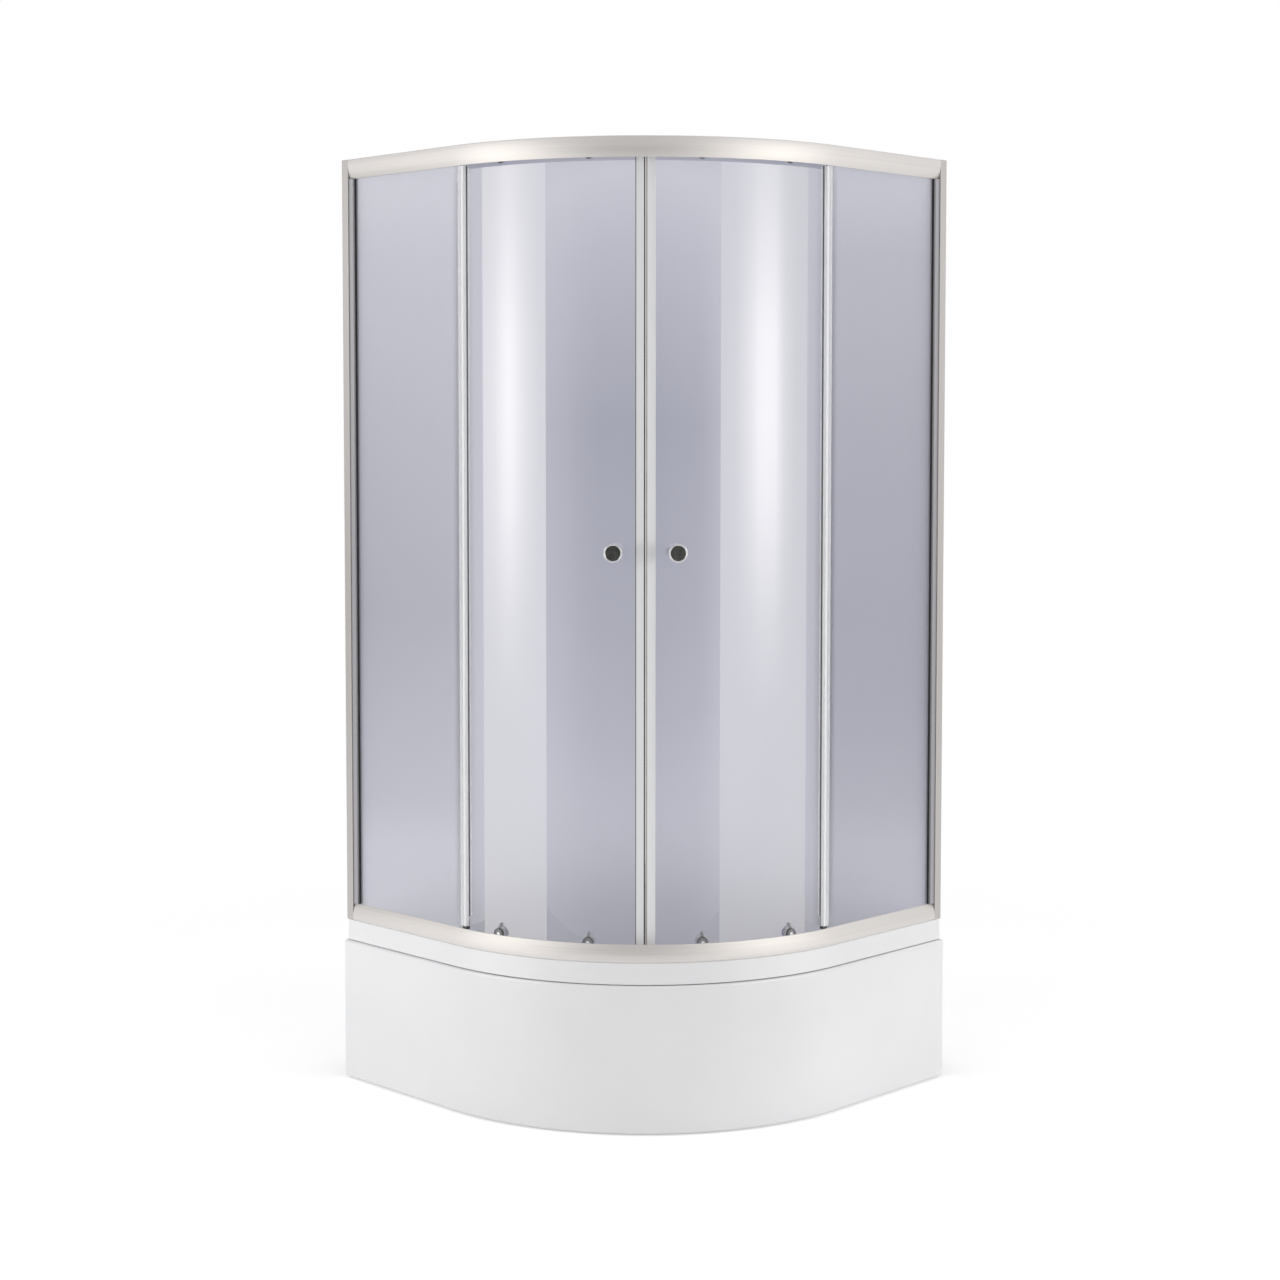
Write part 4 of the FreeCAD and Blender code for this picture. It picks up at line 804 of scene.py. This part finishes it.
def wheel_outline(radius):
    web = WHEEL_WIDTH - WEB_SINK
    seat = WHEEL_WIDTH - HEAD_SINK
    return [(0, WHEEL_BORE), (0, radius, TREAD, 4), (WHEEL_WIDTH, radius, TREAD, 4),
            (WHEEL_WIDTH, radius - WHEEL_RIM, *BRIM), (web, radius - WHEEL_RIM - 0.5 * MM),
            (web, HUB_RADIUS + 0.3 * MM), (WHEEL_WIDTH, HUB_RADIUS, *BRIM),
            (WHEEL_WIDTH, HUB_BORE, *BRIM), (seat, HUB_BORE), (seat, WHEEL_BORE)]


def axle_frame(spot):
    """Placement at the height of an axle, with +X running out from the bend axis along it."""
    out = Vector((spot.x, spot.y, 0)) - BEND
    turned = out.to_track_quat("X", "Z").to_matrix().to_4x4()
    return Matrix.Translation(BEND + Vector((0, 0, spot.z))) @ turned


def out_to(radius):
    return Matrix.Translation((radius, 0, 0))


axles = {}
for joint in frame["joints"]:
    wheel = joint["child"]
    if "wheel" not in wheel:
        continue
    spot = Vector(joint["pos_m"])
    axles[wheel] = axle_frame(spot)
    radius = (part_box(wheel)[1].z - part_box(wheel)[0].z) / 2
    bm = bmesh.new()
    turn(bm, wheel_outline(radius), 48)
    paint(bm, 1, lambda middle: middle.yz.length > radius - TYRE)
    move(bm, axles[wheel] @ out_to(plan_radius(spot) - WHEEL_WIDTH / 2))
    finish_piece(bm, wheel + "_roller", wheel, "grey_plastic", [grey_plastic, grey_rubber], wheel)

# %% [markdown]
# ## Eased edges
# Many profiles and plates already have their true shape in the frame, but a knife-sharp edge never catches
# light. A copy of such a node is merged, its flat triangles are joined, and every sharp edge gets a small
# round. That is quicker than drawing them again, and it keeps every hole and slot where the frame has it.

# %% Ease the plain pieces
BODY_OF = {node: body for body, nodes in frame["record"]["behaviour"]["bodies"].items() for node in nodes}
FLAT = math.radians(0.5)


def eased_copy(node, offset):
    """A mesh of a CAD node with its sharp edges rounded off."""
    bm = bmesh.new()
    bm.from_mesh(frame["nodes"][node].data)
    bmesh.ops.remove_doubles(bm, verts=bm.verts, dist=WELD)
    bmesh.ops.dissolve_limit(bm, angle_limit=FLAT, verts=bm.verts, edges=bm.edges)
    soften(bm, offset, SMOOTH_ANGLE, clamp=True)
    return bm


def ease(node, offset, finish=None):
    return finish_piece(eased_copy(node, offset), node + "_eased", BODY_OF[node], SLOT_OF[node],
                        [finish or FINISHES[SLOT_OF[node]]], node)


for side in SIDES:
    ease("wall_post_" + side, 0.5 * MM)
    ease("glass_jamb_" + side, 0.3 * MM, jamb_aluminium_painted_shade)
    ease("magnet_strip_" + side, 0.25 * MM, magnet_strip)
    ease("trailing_seal_" + side, 0.25 * MM)
    ease("roller_hangers_" + side, 0.5 * MM)
    ease("roller_plates_" + side, 0.4 * MM, pale_nylon)
    for place in ("lead_", "trail_"):
        ease("release_button_" + place + side, 0.5 * MM)
ease("pane_clips", 0.3 * MM).visible_glossy = False
for node, offset in (("jamb_gaskets", 0.3), ("rail_end_blocks", 0.8), ("door_stops", 1.2),
                     ("base_board", 0.6), ("support_frame", 0.3), ("tube_end_caps", 0.8),
                     ("apron_straps", 0.6), ("apron_screws", 0.5), ("waste_gasket", 0.4),
                     ("trap_body", 0.8), ("trap_outlet_nut", 0.7), ("leg_nuts", 0.9)):
    ease(node, offset * MM)

# %% [markdown]
# ## Magnetic seals
# Where the doors meet, each seal ends in a magnet that lies bare at the tip: dark ferrite on one door, a
# paler and browner counter strip on the other. A plane cuts the eased seal just behind its tip, and the
# faces beyond the plane take the finish of the magnet. They draw the dark line of the seam. A second cut
# marks a strip at the end of the outer leg of the left seal, which is painted dark grey as painted shade
# for the shadowed edge of the leg.

# %% Magnetic seals
MAGNET_TIP = {"left": 3.2 * MM, "right": 3.6 * MM}
MAGNET_FINISH = {"left": magnet_strip, "right": counter_strip}
# Painted shade: width of the dark grey strip at the end of each seal's outer leg.
LEG_PAINTED_SHADE = {"left": 1.6 * MM, "right": 0}
for side, outward in (("left", 1), ("right", -1)):
    node = "magnetic_seal_" + side
    bm = eased_copy(node, 0.25 * MM)
    across = TO_THE_RIGHT * outward
    start = BEND - across * MAGNET_TIP[side]
    leg_end = min((vert.co - BEND).dot(across) for vert in bm.verts if plan_radius(vert.co) > DOOR_RADIUS)
    leg_shade_start = BEND + across * (leg_end + LEG_PAINTED_SHADE[side])
    cut(bm, start, across)
    cut(bm, leg_shade_start, across)
    # Painted shade: the strip at the end of the outer leg takes the dark grey finish.
    paint(bm, 2, lambda middle: (middle - leg_shade_start).dot(across) < 0 and plan_radius(middle) > DOOR_RADIUS)
    paint(bm, 1, lambda middle: (middle - start).dot(across) > 0)
    finish_piece(bm, node + "_eased", BODY_OF[node], SLOT_OF[node],
                 [milky_pvc, MAGNET_FINISH[side], grey_rubber], node)

# %% [markdown]
# ## Edge seals
# A clear channel with a milky nose grips the free edge of each side pane. Its fin reaches back to the
# door, and the foot of the fin is painted dark grey as painted shade: it draws the thin dark line of the
# gap beside each seal. The section is drawn once in the plan, with a corner where the painted shade ends,
# and pushed up. The fin starts above the rollers. Below that only a narrow strip of painted shade goes on
# to the foot. Like the side panes, the seals stay out of the doors' reflections.

# %% Edge seals
SIDE_FACE = HALF - RAIL_INSET
EDGE_LEG = 14 * MM
EDGE_WALL = 1.2 * MM
EDGE_ROOM = 0.2 * MM
EDGE_NOSE = 2 * MM
MILKY_NOSE = 6 * MM
EDGE_FIN = 8 * MM
# Painted shade: the dark grey foot of the fin and, below the fin, the narrow dark strip.
FIN_PAINTED_SHADE = 4 * MM
NARROW_PAINTED_SHADE = 1.4 * MM
FIN_FOOT = 400 * MM
EDGE_ROUND = 0.3 * MM
PAINTED_SHADE_SHARE = 0.9


def both_sides(bm):
    """Add the left-hand copy of everything made so far."""
    copy = bmesh.ops.duplicate(bm, geom=everything(bm))["geom"]
    bmesh.ops.transform(bm, matrix=SIDES["left"], verts=verts_of(copy))


def side_profile(bm, corners, foot, head):
    """An upright on the right side, drawn in (depth, distance from the wall) and pushed up."""
    section = sketch(bm, corners, lambda depth, along: (SIDE_FACE - depth, WALL - along, foot))
    push(bm, section, (0, 0, head - foot))


pane_edge = WALL - pane_low.y
outside = SIDE_FACE - pane_high.x - EDGE_ROOM - EDGE_WALL
inside = SIDE_FACE - pane_low.x + EDGE_ROOM + EDGE_WALL
seal_foot, seal_head = (corner.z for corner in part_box("fixed_edge_seals"))
nose = pane_edge + EDGE_NOSE
leg = pane_edge - EDGE_LEG
slot_end = pane_edge + EDGE_ROOM
bm = bmesh.new()
side_profile(bm, [
    (outside, leg), (outside, nose), (inside, nose), (inside, leg),
    (inside - EDGE_WALL, leg), (inside - EDGE_WALL, slot_end),
    (outside + EDGE_WALL, slot_end), (outside + EDGE_WALL, leg),
], seal_foot, seal_head)
soften(bm, EDGE_ROUND)
thick = WALL - nose + MILKY_NOSE
cut(bm, (0, thick, 0), (0, 1, 0))
paint(bm, 2, lambda middle: middle.y < thick)
front = nose - EDGE_ROOM
back = nose - EDGE_WALL
fin = bmesh.new()
side_profile(fin, [
    (inside, front), (inside + FIN_PAINTED_SHADE, front), (inside + EDGE_FIN, front),
    (inside + EDGE_FIN, back), (inside + FIN_PAINTED_SHADE, back), (inside, back),
], FIN_FOOT, seal_head)
side_profile(fin, [
    (inside, front), (inside + NARROW_PAINTED_SHADE, front), (inside + NARROW_PAINTED_SHADE, back), (inside, back),
], seal_foot, FIN_FOOT - EDGE_ROOM)
# Painted shade: the foot of the fin and the narrow strip take the dark grey finish.
paint(fin, 1, lambda middle: SIDE_FACE - middle.x < inside + PAINTED_SHADE_SHARE * FIN_PAINTED_SHADE)
add_copies(bm, fin, Matrix.Identity(4))
both_sides(bm)
seals = finish_piece(bm, "edge_seals", "cabin", "clear_pvc", [clear_pvc, grey_rubber, milky_pvc],
                     "fixed_edge_seals")
seals.visible_glossy = False

# %% [markdown]
# ## Screws, nuts and axles
# Small turned parts carry the doors. Their heads are low cylinders with a hexagonal socket. The socket is a
# six-sided circle that is bridged to the round rim and then extruded down. Inside the cabin each lower axle
# ends in a domed cap nut.

# %% Fastener helpers
HEAD_SEGMENTS = 24
SOCKET_WIDTH = 0.52
SOCKET_DEPTH = 0.7
HEAD_ROUND = 0.25


def draw_down(bm, edges, depth):
    """Extrude a ring of edges along -Z and return the new ring."""
    made = bmesh.ops.extrude_edge_only(bm, edges=edges)["geom"]
    verts = verts_of(made)
    bmesh.ops.translate(bm, verts=verts, vec=(0, 0, -depth))
    return [item for item in made if isinstance(item, bmesh.types.BMEdge) and
            all(vert in verts for vert in item.verts)]


def add_screw(bm, place, radius, height, shank, length):
    """A screw whose head stands on z = 0 of its place: rim, hexagonal socket and plain shank."""
    part = bmesh.new()
    rim = circle_edges(part, HEAD_SEGMENTS, radius, (0, 0, height))
    hexagon = circle_edges(part, 6, SOCKET_WIDTH * radius, (0, 0, height))
    bridge(part, [rim, hexagon])
    bmesh.ops.edgeloop_fill(part, edges=draw_down(part, hexagon, SOCKET_DEPTH * height))
    seat = draw_down(part, rim, height)
    neck = circle_edges(part, HEAD_SEGMENTS, shank, (0, 0, 0))
    bridge(part, [seat, neck])
    bmesh.ops.edgeloop_fill(part, edges=draw_down(part, neck, length))
    round_off(part, rim, HEAD_ROUND * height, 3)
    add_copies(bm, part, place)


def add_turned(bm, corners, steps, *places):
    part = bmesh.new()
    turn(part, corners, steps)
    add_copies(bm, part, *places)


# %% Door fasteners
FACE_OUT = Matrix.Rotation(RIGHT_ANGLE, 4, "Y")
FACE_IN = Matrix.Rotation(-RIGHT_ANGLE, 4, "Y")
AXLE = 2.5 * MM
AXLE_END = 516.7 * MM
AXLE_HEAD = (4 * MM, 1.3 * MM)
BOLT_HEAD = (4.6 * MM, 1.6 * MM)
HANGER_BACK = 498.6 * MM
BOLT_SEAT = 508.25 * MM
BOLT_DROP = Matrix.Translation((0, 0, -20 * MM))
NUT_SEAT = 502.8 * MM
CAP_NUT = [(0, 0), (0, 6 * MM, 0.3 * MM, 2), (1.6 * MM, 6 * MM, 0.3 * MM, 2), (1.6 * MM, 5 * MM),
           (4 * MM, 4.6 * MM, 2 * MM, 6), (4 * MM, 0)]
KNOB_STUD = [(494 * MM, 0), (494 * MM, 3 * MM, 0.4 * MM, 2), (517 * MM, 3 * MM, 0.4 * MM, 2), (517 * MM, 0)]
for side, mirror in SIDES.items():
    bm = bmesh.new()
    for place in ("lead_", "trail_"):
        upper = axles["top_wheel_" + place + side]
        lower = axles["bottom_wheel_" + place + side]
        bolt = BOLT_DROP @ upper @ out_to(BOLT_SEAT) @ FACE_OUT
        add_screw(bm, upper @ out_to(AXLE_END) @ FACE_OUT, *AXLE_HEAD, AXLE, AXLE_END - HANGER_BACK)
        add_screw(bm, bolt, *BOLT_HEAD, AXLE, BOLT_SEAT - HANGER_BACK)
        add_screw(bm, lower @ out_to(AXLE_END) @ FACE_OUT, *AXLE_HEAD, AXLE, AXLE_END - NUT_SEAT)
        add_turned(bm, CAP_NUT, 32, lower @ out_to(NUT_SEAT) @ HALF_TURN)
    add_turned(bm, KNOB_STUD, 24, mirror @ on_front(KNOB_ANGLE, 0, KNOB_Z))
    finish_piece(bm, "fasteners_" + side, side + "_door", "zinc_steel", [zinc_steel],
                 "door_fasteners_" + side)

# %% Post screws
SCREW_HEAD = 4 * MM
SCREW_DEPTH = 10 * MM
low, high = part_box("post_screws")
bm = bmesh.new()
for height in (low.z + SCREW_HEAD, high.z - SCREW_HEAD):
    seat = Vector((high.x - SCREW_DEPTH, high.y - SCREW_HEAD, height))
    add_screw(bm, Matrix.Translation(seat) @ FACE_IN, SCREW_HEAD, height=2.2 * MM, shank=2 * MM,
              length=SCREW_DEPTH)
both_sides(bm)
finish_piece(bm, "screws_of_posts", "cabin", "zinc_steel", [zinc_steel], "post_screws")

# %% [markdown]
# ## Legs and feet
# The tray stands on six threaded rods with turned feet. The thread is real: one pitch of its outline is
# spun round the rod's axis and lifted by one pitch a turn. Then the ends are cut square with two planes.

# %% Threaded legs
LEGS = [(310.58, 150), (310.58, -150), (-380.4, 150), (-380.4, -150), (0, 430.4), (0, -430.4)]
ROD = 6 * MM
PITCH = 1.75 * MM
THREAD_DEPTH = 0.9 * MM
THREAD_STEPS = 16
leg_places = []
for forward, sideways in LEGS:
    leg_places.append(Matrix.Translation((TOWARDS_VIEWER * forward + TO_THE_RIGHT * sideways) * MM))

rod_foot, rod_top = (corner.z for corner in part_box("leg_rods"))
turns = math.ceil((rod_top - rod_foot) / PITCH) + 2
part = bmesh.new()
outline = [(ROD - THREAD_DEPTH, 0), (ROD, 0.4 * PITCH), (ROD, 0.6 * PITCH), (ROD - THREAD_DEPTH, PITCH)]
verts = [part.verts.new((radius, 0, rod_foot - 1.5 * PITCH + z)) for radius, z in outline]
edges = [part.edges.new(pair) for pair in zip(verts, verts[1:])]
bmesh.ops.spin(part, geom=edges, cent=(0, 0, 0), axis=(0, 0, 1), dvec=(0, 0, PITCH / THREAD_STEPS),
               angle=math.tau * turns, steps=THREAD_STEPS * turns)
bmesh.ops.remove_doubles(part, verts=part.verts, dist=WELD)
for z, direction in ((rod_foot, -1), (rod_top, 1)):
    cut(part, (0, 0, z), (0, 0, direction), clear_outer=True)
bmesh.ops.edgeloop_fill(part, edges=[edge for edge in part.edges if edge.is_boundary])
bm = bmesh.new()
add_copies(bm, part, *leg_places)
finish_piece(bm, "threaded_legs", "cabin", "zinc_steel", [zinc_steel], "leg_rods")

# %% Levelling feet
FOOT = [(0, 0), (0, 24 * MM, 0.8 * MM, 3), (6 * MM, 24 * MM, 2 * MM, 5), (20 * MM, 11 * MM, 1.5 * MM, 4),
        (20 * MM, 6 * MM), (8 * MM, 6 * MM), (8 * MM, 0)]
bm = bmesh.new()
add_turned(bm, FOOT, 48, *[place @ FACE_IN for place in leg_places])
finish_piece(bm, "turned_feet", "cabin", "dark_plastic", [dark_plastic], "levelling_feet")

# %% [markdown]
# ## Waste
# A chromed flange clamps the tray, and a domed cover lies in it and can be lifted off for cleaning. Both
# are turned. The dome follows a circle, so its outline is computed rather than drawn.

# %% Waste flange and cover
FLANGE = [(-5, 40), (-5, 44.7), (0, 44.7), (0, 57), (1.5, 57), (3, 54), (3, 40)]
COVER_RADIUS, COVER_EDGE, COVER_RISE, FLANGE_TOP = 52, 2, 7, 3
waste = Matrix.Translation(DRAIN + Vector((0, 0, SUMP[-1][1] * MM))) @ FACE_IN
bm = bmesh.new()
add_turned(bm, [(along * MM, radius * MM, 0.3 * MM, 2) for along, radius in FLANGE], 72, waste)
finish_piece(bm, "flange_of_waste", "cabin", "chrome", [chrome], "waste_flange")

dome = (COVER_RADIUS ** 2 + COVER_RISE ** 2) / (2 * COVER_RISE)
outline = [(7, 0), (2, 36), (-15, 36), (-15, 38), (0, 38), (0, 51.6), (0.4, 52), (1.6, 52), (2.1, 51.5)]
for radius in (48, 42, 35, 28, 21, 14, 7, 0):
    outline.append((COVER_EDGE + COVER_RISE - dome + math.sqrt(dome ** 2 - radius ** 2), radius))
bm = bmesh.new()
add_turned(bm, [((along + FLANGE_TOP) * MM, radius * MM) for along, radius in outline], 72, waste)
finish_piece(bm, "cover_of_drain", "drain_cover", "chrome", [chrome], "drain_cover")

# %% [markdown]
# ## Studio
# The background is white paper: a floor that turns into plain white away from the cabin, and a white
# world that the camera, mirrors and glass all see. What lights the cabin is weaker than what is seen, so
# white acrylic keeps its shading. The floor near the cabin takes the soft shadow.

# %% Floor and world
FLOOR_RADIUS = 14.0
FLOOR_NEAR, FLOOR_FAR = 0.9, 2.6
FLOOR_LIFT = 0.33
AMBIENT = 0.465
PAPER = (0.93, 0.93, 0.93, 1)
WHITE = (1, 1, 1, 1)


def reckon(owner, operation, *values):
    """A Math node on floats and on outputs of other nodes."""
    made = add_node(owner, "Math")
    made.operation = operation
    for place, value in enumerate(values):
        if isinstance(value, float):
            made.inputs[place].default_value = value
        else:
            wire_up(owner, value, made, place)
    return made.outputs[0]


def seen_directly(owner):
    """1 for camera, glossy and transmission rays, 0 for the rays that light things."""
    path = add_node(owner, "LightPath").outputs
    mirrored = reckon(owner, "MAXIMUM", path["Is Camera Ray"], path["Is Glossy Ray"])
    return reckon(owner, "MAXIMUM", mirrored, path["Is Transmission Ray"])


world = bpy.data.worlds.new("white_paper")
world.use_nodes = True
bpy.context.scene.world = world
strength = add_node(world, "MapRange", To_Min=AMBIENT, To_Max=1.0)
wire_up(world, seen_directly(world), strength, "Value")
backdrop = set_inputs(world.node_tree.nodes["Background"], {"Color": WHITE})
wire_up(world, strength.outputs["Result"], backdrop, "Strength")


def stage_object(bm, name, material):
    mesh = bpy.data.meshes.new(name)
    bm.to_mesh(mesh)
    bm.free()
    mesh.materials.append(material)
    made = bpy.data.objects.new(name, mesh)
    bpy.context.scene.collection.objects.link(made)
    made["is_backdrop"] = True
    print("stage:", name)
    return made


def bare_material(name):
    """A material without a shader, and the node that ends its tree."""
    material = new_finish(name)
    material.node_tree.nodes.remove(shader_of(material))
    return material, material.node_tree.nodes["Material Output"]


paper, ending = bare_material("white_paper_floor")
distance = add_node(paper, "VectorMath")
distance.operation = "LENGTH"
wire_up(paper, object_place(paper), distance, 0)
fade = add_node(paper, "MapRange", From_Min=FLOOR_NEAR, From_Max=FLOOR_FAR)
fade.interpolation_type = "SMOOTHSTEP"
wire_up(paper, distance.outputs["Value"], fade, "Value")
seen = seen_directly(paper)
lift = add_node(paper, "Emission")
wire_up(paper, reckon(paper, "MULTIPLY", seen, FLOOR_LIFT), lift, "Strength")
near = add_node(paper, "AddShader")
wire_up(paper, add_node(paper, "BsdfDiffuse", Color=PAPER).outputs[0], near, 0)
wire_up(paper, lift.outputs[0], near, 1)
blend = add_node(paper, "MixShader")
wire_up(paper, reckon(paper, "MULTIPLY", fade.outputs["Result"], seen), blend, "Fac")
wire_up(paper, near.outputs[0], blend, 1)
wire_up(paper, add_node(paper, "Emission").outputs[0], blend, 2)
wire_up(paper, blend.outputs[0], ending, "Surface")
bm = bmesh.new()
bmesh.ops.create_circle(bm, cap_ends=True, segments=96, radius=FLOOR_RADIUS)
stage_object(bm, "paper_floor", paper)

# %% [markdown]
# Polished things show the room, so the room is made of cards that only mirrors see. Two tall soft boxes
# draw the long bands on the curved doors: sharp on the side of the seam, fading on the other. Dark flags
# behind the camera and beside the boxes give chrome, posts and glass their greys.

# %% Cards that the polished surfaces mirror
def towards(azimuth):
    """A level direction, its azimuth in degrees counted from the viewer towards the right."""
    return Matrix.Rotation(math.radians(azimuth), 3, "Z") @ TOWARDS_VIEWER


def glow(name, colour, level, swing, across, upright):
    """Emission of level plus swing times one ramp across a card and one up it; stops are (place, share)."""
    material, ending = bare_material(name)
    spot = add_node(material, "SeparateXYZ")
    wire_up(material, object_place(material), spot, "Vector")
    shares = []
    for axis, stops in (("X", across), ("Y", upright)):
        along = reckon(material, "ADD", spot.outputs[axis], 0.5)
        shares.append(ramp(material, along, [(place, (share, share, share)) for place, share in stops]))
    share = reckon(material, "MULTIPLY", *shares)
    light = add_node(material, "Emission", Color=colour)
    wire_up(material, reckon(material, "MULTIPLY_ADD", share, swing, level), light, "Strength")
    wire_up(material, light.outputs[0], ending, "Surface")
    return material


def card(name, first, last, distance, head, material):
    """A card that stands on the floor and faces the cabin between two azimuths."""
    out = towards((first + last) / 2)
    bm = bmesh.new()
    bmesh.ops.create_grid(bm, x_segments=1, y_segments=1, size=0.5)
    made = stage_object(bm, name, material)
    made.location = BEND + out * distance
    made.location.z = head / 2
    made.rotation_euler = out.to_track_quat("-Z", "Y").to_euler()
    made.scale = (2 * distance * math.tan(math.radians(abs(last - first) / 2)), head, 1)
    made.visible_camera = False
    made.visible_diffuse = False
    made.visible_transmission = False
    made.visible_shadow = False


BOX_SIZE = (1.9, 2.1)
FLAG_SIZE = (2.0, 2.8)
CORE = [(0.29, 0), (0.41, 0.25), (0.56, 0.82), (0.67, 1), (0.77, 1), (0.95, 0.45), (1, 0.38)]
ROOM = [(0.075, 0.36), (0.12, 0.39), (0.22, 0.7), (0.31, 0.86), (0.5, 1), (0.58, 0.76), (0.66, 0.48),
        (0.73, 0.1), (0.79, 0.35), (0.86, 0.9), (1, 1)]
LEFT_WALL = [(0.086, 0.3), (0.13, 0.62), (0.225, 0.82), (0.316, 1), (0.5, 0.74), (0.58, 0.58),
             (0.66, 0.42), (0.72, 0.12), (0.77, 0.12), (0.85, 0.9), (1, 1)]
RIGHT_WALL = [(0.086, 0.64), (0.13, 0.82), (0.225, 0.98), (0.316, 1), (0.5, 0.88), (0.58, 0.76),
              (0.66, 0.68), (0.72, 0.4), (0.77, 0.36), (0.85, 0.8), (1, 0.9)]
WARM = (1, 0.985, 0.94, 1)
card("left_soft_box", -41.0, -72.4, *BOX_SIZE, glow(
    "left_glow", WARM, 2.0, 1.8,
    [(0, 0), (0.1, 0.05), (0.3, 0.4), (0.45, 0.82), (0.53, 1), (0.62, 0.9), (0.78, 0.45), (1, 0.22)], CORE))
card("right_soft_box", 73.3, 31.2, *BOX_SIZE, glow(
    "right_glow", WARM, 1.7, 1.97,
    [(0, 0), (0.18, 0.05), (0.31, 0.3), (0.365, 0.58), (0.42, 0.94), (0.53, 1), (0.6, 0.94), (0.69, 0.55),
     (0.84, 0.1), (1, 0)], CORE))
card("camera_flag", -44, 34, *FLAG_SIZE, glow(
    "camera_shade", WHITE, 1.5, -1.44,
    [(0.05, 0.6), (0.175, 0.93), (0.36, 1), (0.64, 1), (0.74, 0.9), (0.83, 0.72), (0.95, 0.6)], ROOM))
card("left_flag", -70, -125, *FLAG_SIZE, glow(
    "left_shade", WHITE, 1.4, -1.35,
    [(0, 0), (0.16, 0.1), (0.235, 0.7), (0.38, 0.75), (0.48, 1), (1, 1)], LEFT_WALL))
card("right_flag", 125, 70, *FLAG_SIZE, glow(
    "right_shade", WHITE, 1.4, -1.3,
    [(0, 0), (0.45, 0), (0.56, 0.5), (0.62, 1), (0.75, 1), (0.835, 0.3), (1, 0.2)], RIGHT_WALL))

# %% [markdown]
# The cards light nothing. Two broad area lamps far behind them do. Mirrors don't see the lamps, so their
# level can follow the white of the tray alone. A third one overhead fills the basin.

# %% Lamps
LAMP_SIZE = 2.4
LAMP_DISTANCE = 5.0
LAMP_HEIGHT = Vector((0, 0, 1.3))


def lamp(name, out, foot, power):
    """A square lamp in a direction from a point, shining back at it."""
    light = bpy.data.lights.new(name, "AREA")
    light.size = LAMP_SIZE
    light.energy = power
    made = bpy.data.objects.new(name, light)
    made.location = foot + out * LAMP_DISTANCE
    made.rotation_euler = out.to_track_quat("Z", "Y").to_euler()
    made.visible_camera = False
    made.visible_glossy = False
    made.visible_transmission = False
    bpy.context.scene.collection.objects.link(made)


for name, azimuth, power in (("left_lamp", -67, 88.0), ("right_lamp", 67, 91.0)):
    lamp(name, towards(azimuth), BEND + LAMP_HEIGHT, power)
lamp("top_lamp", Vector((0, 0, 1)), Vector(), 45.0)
print("studio ready")

# %% [markdown]
# ## Last settings
# The view transform stays plain so that colours come out as they are written, and the bounds of the
# dressed model are measured here, as those of the frame were at the start.

# %% Sizes and finish
bpy.context.scene.view_settings.view_transform = "Standard"
low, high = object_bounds()
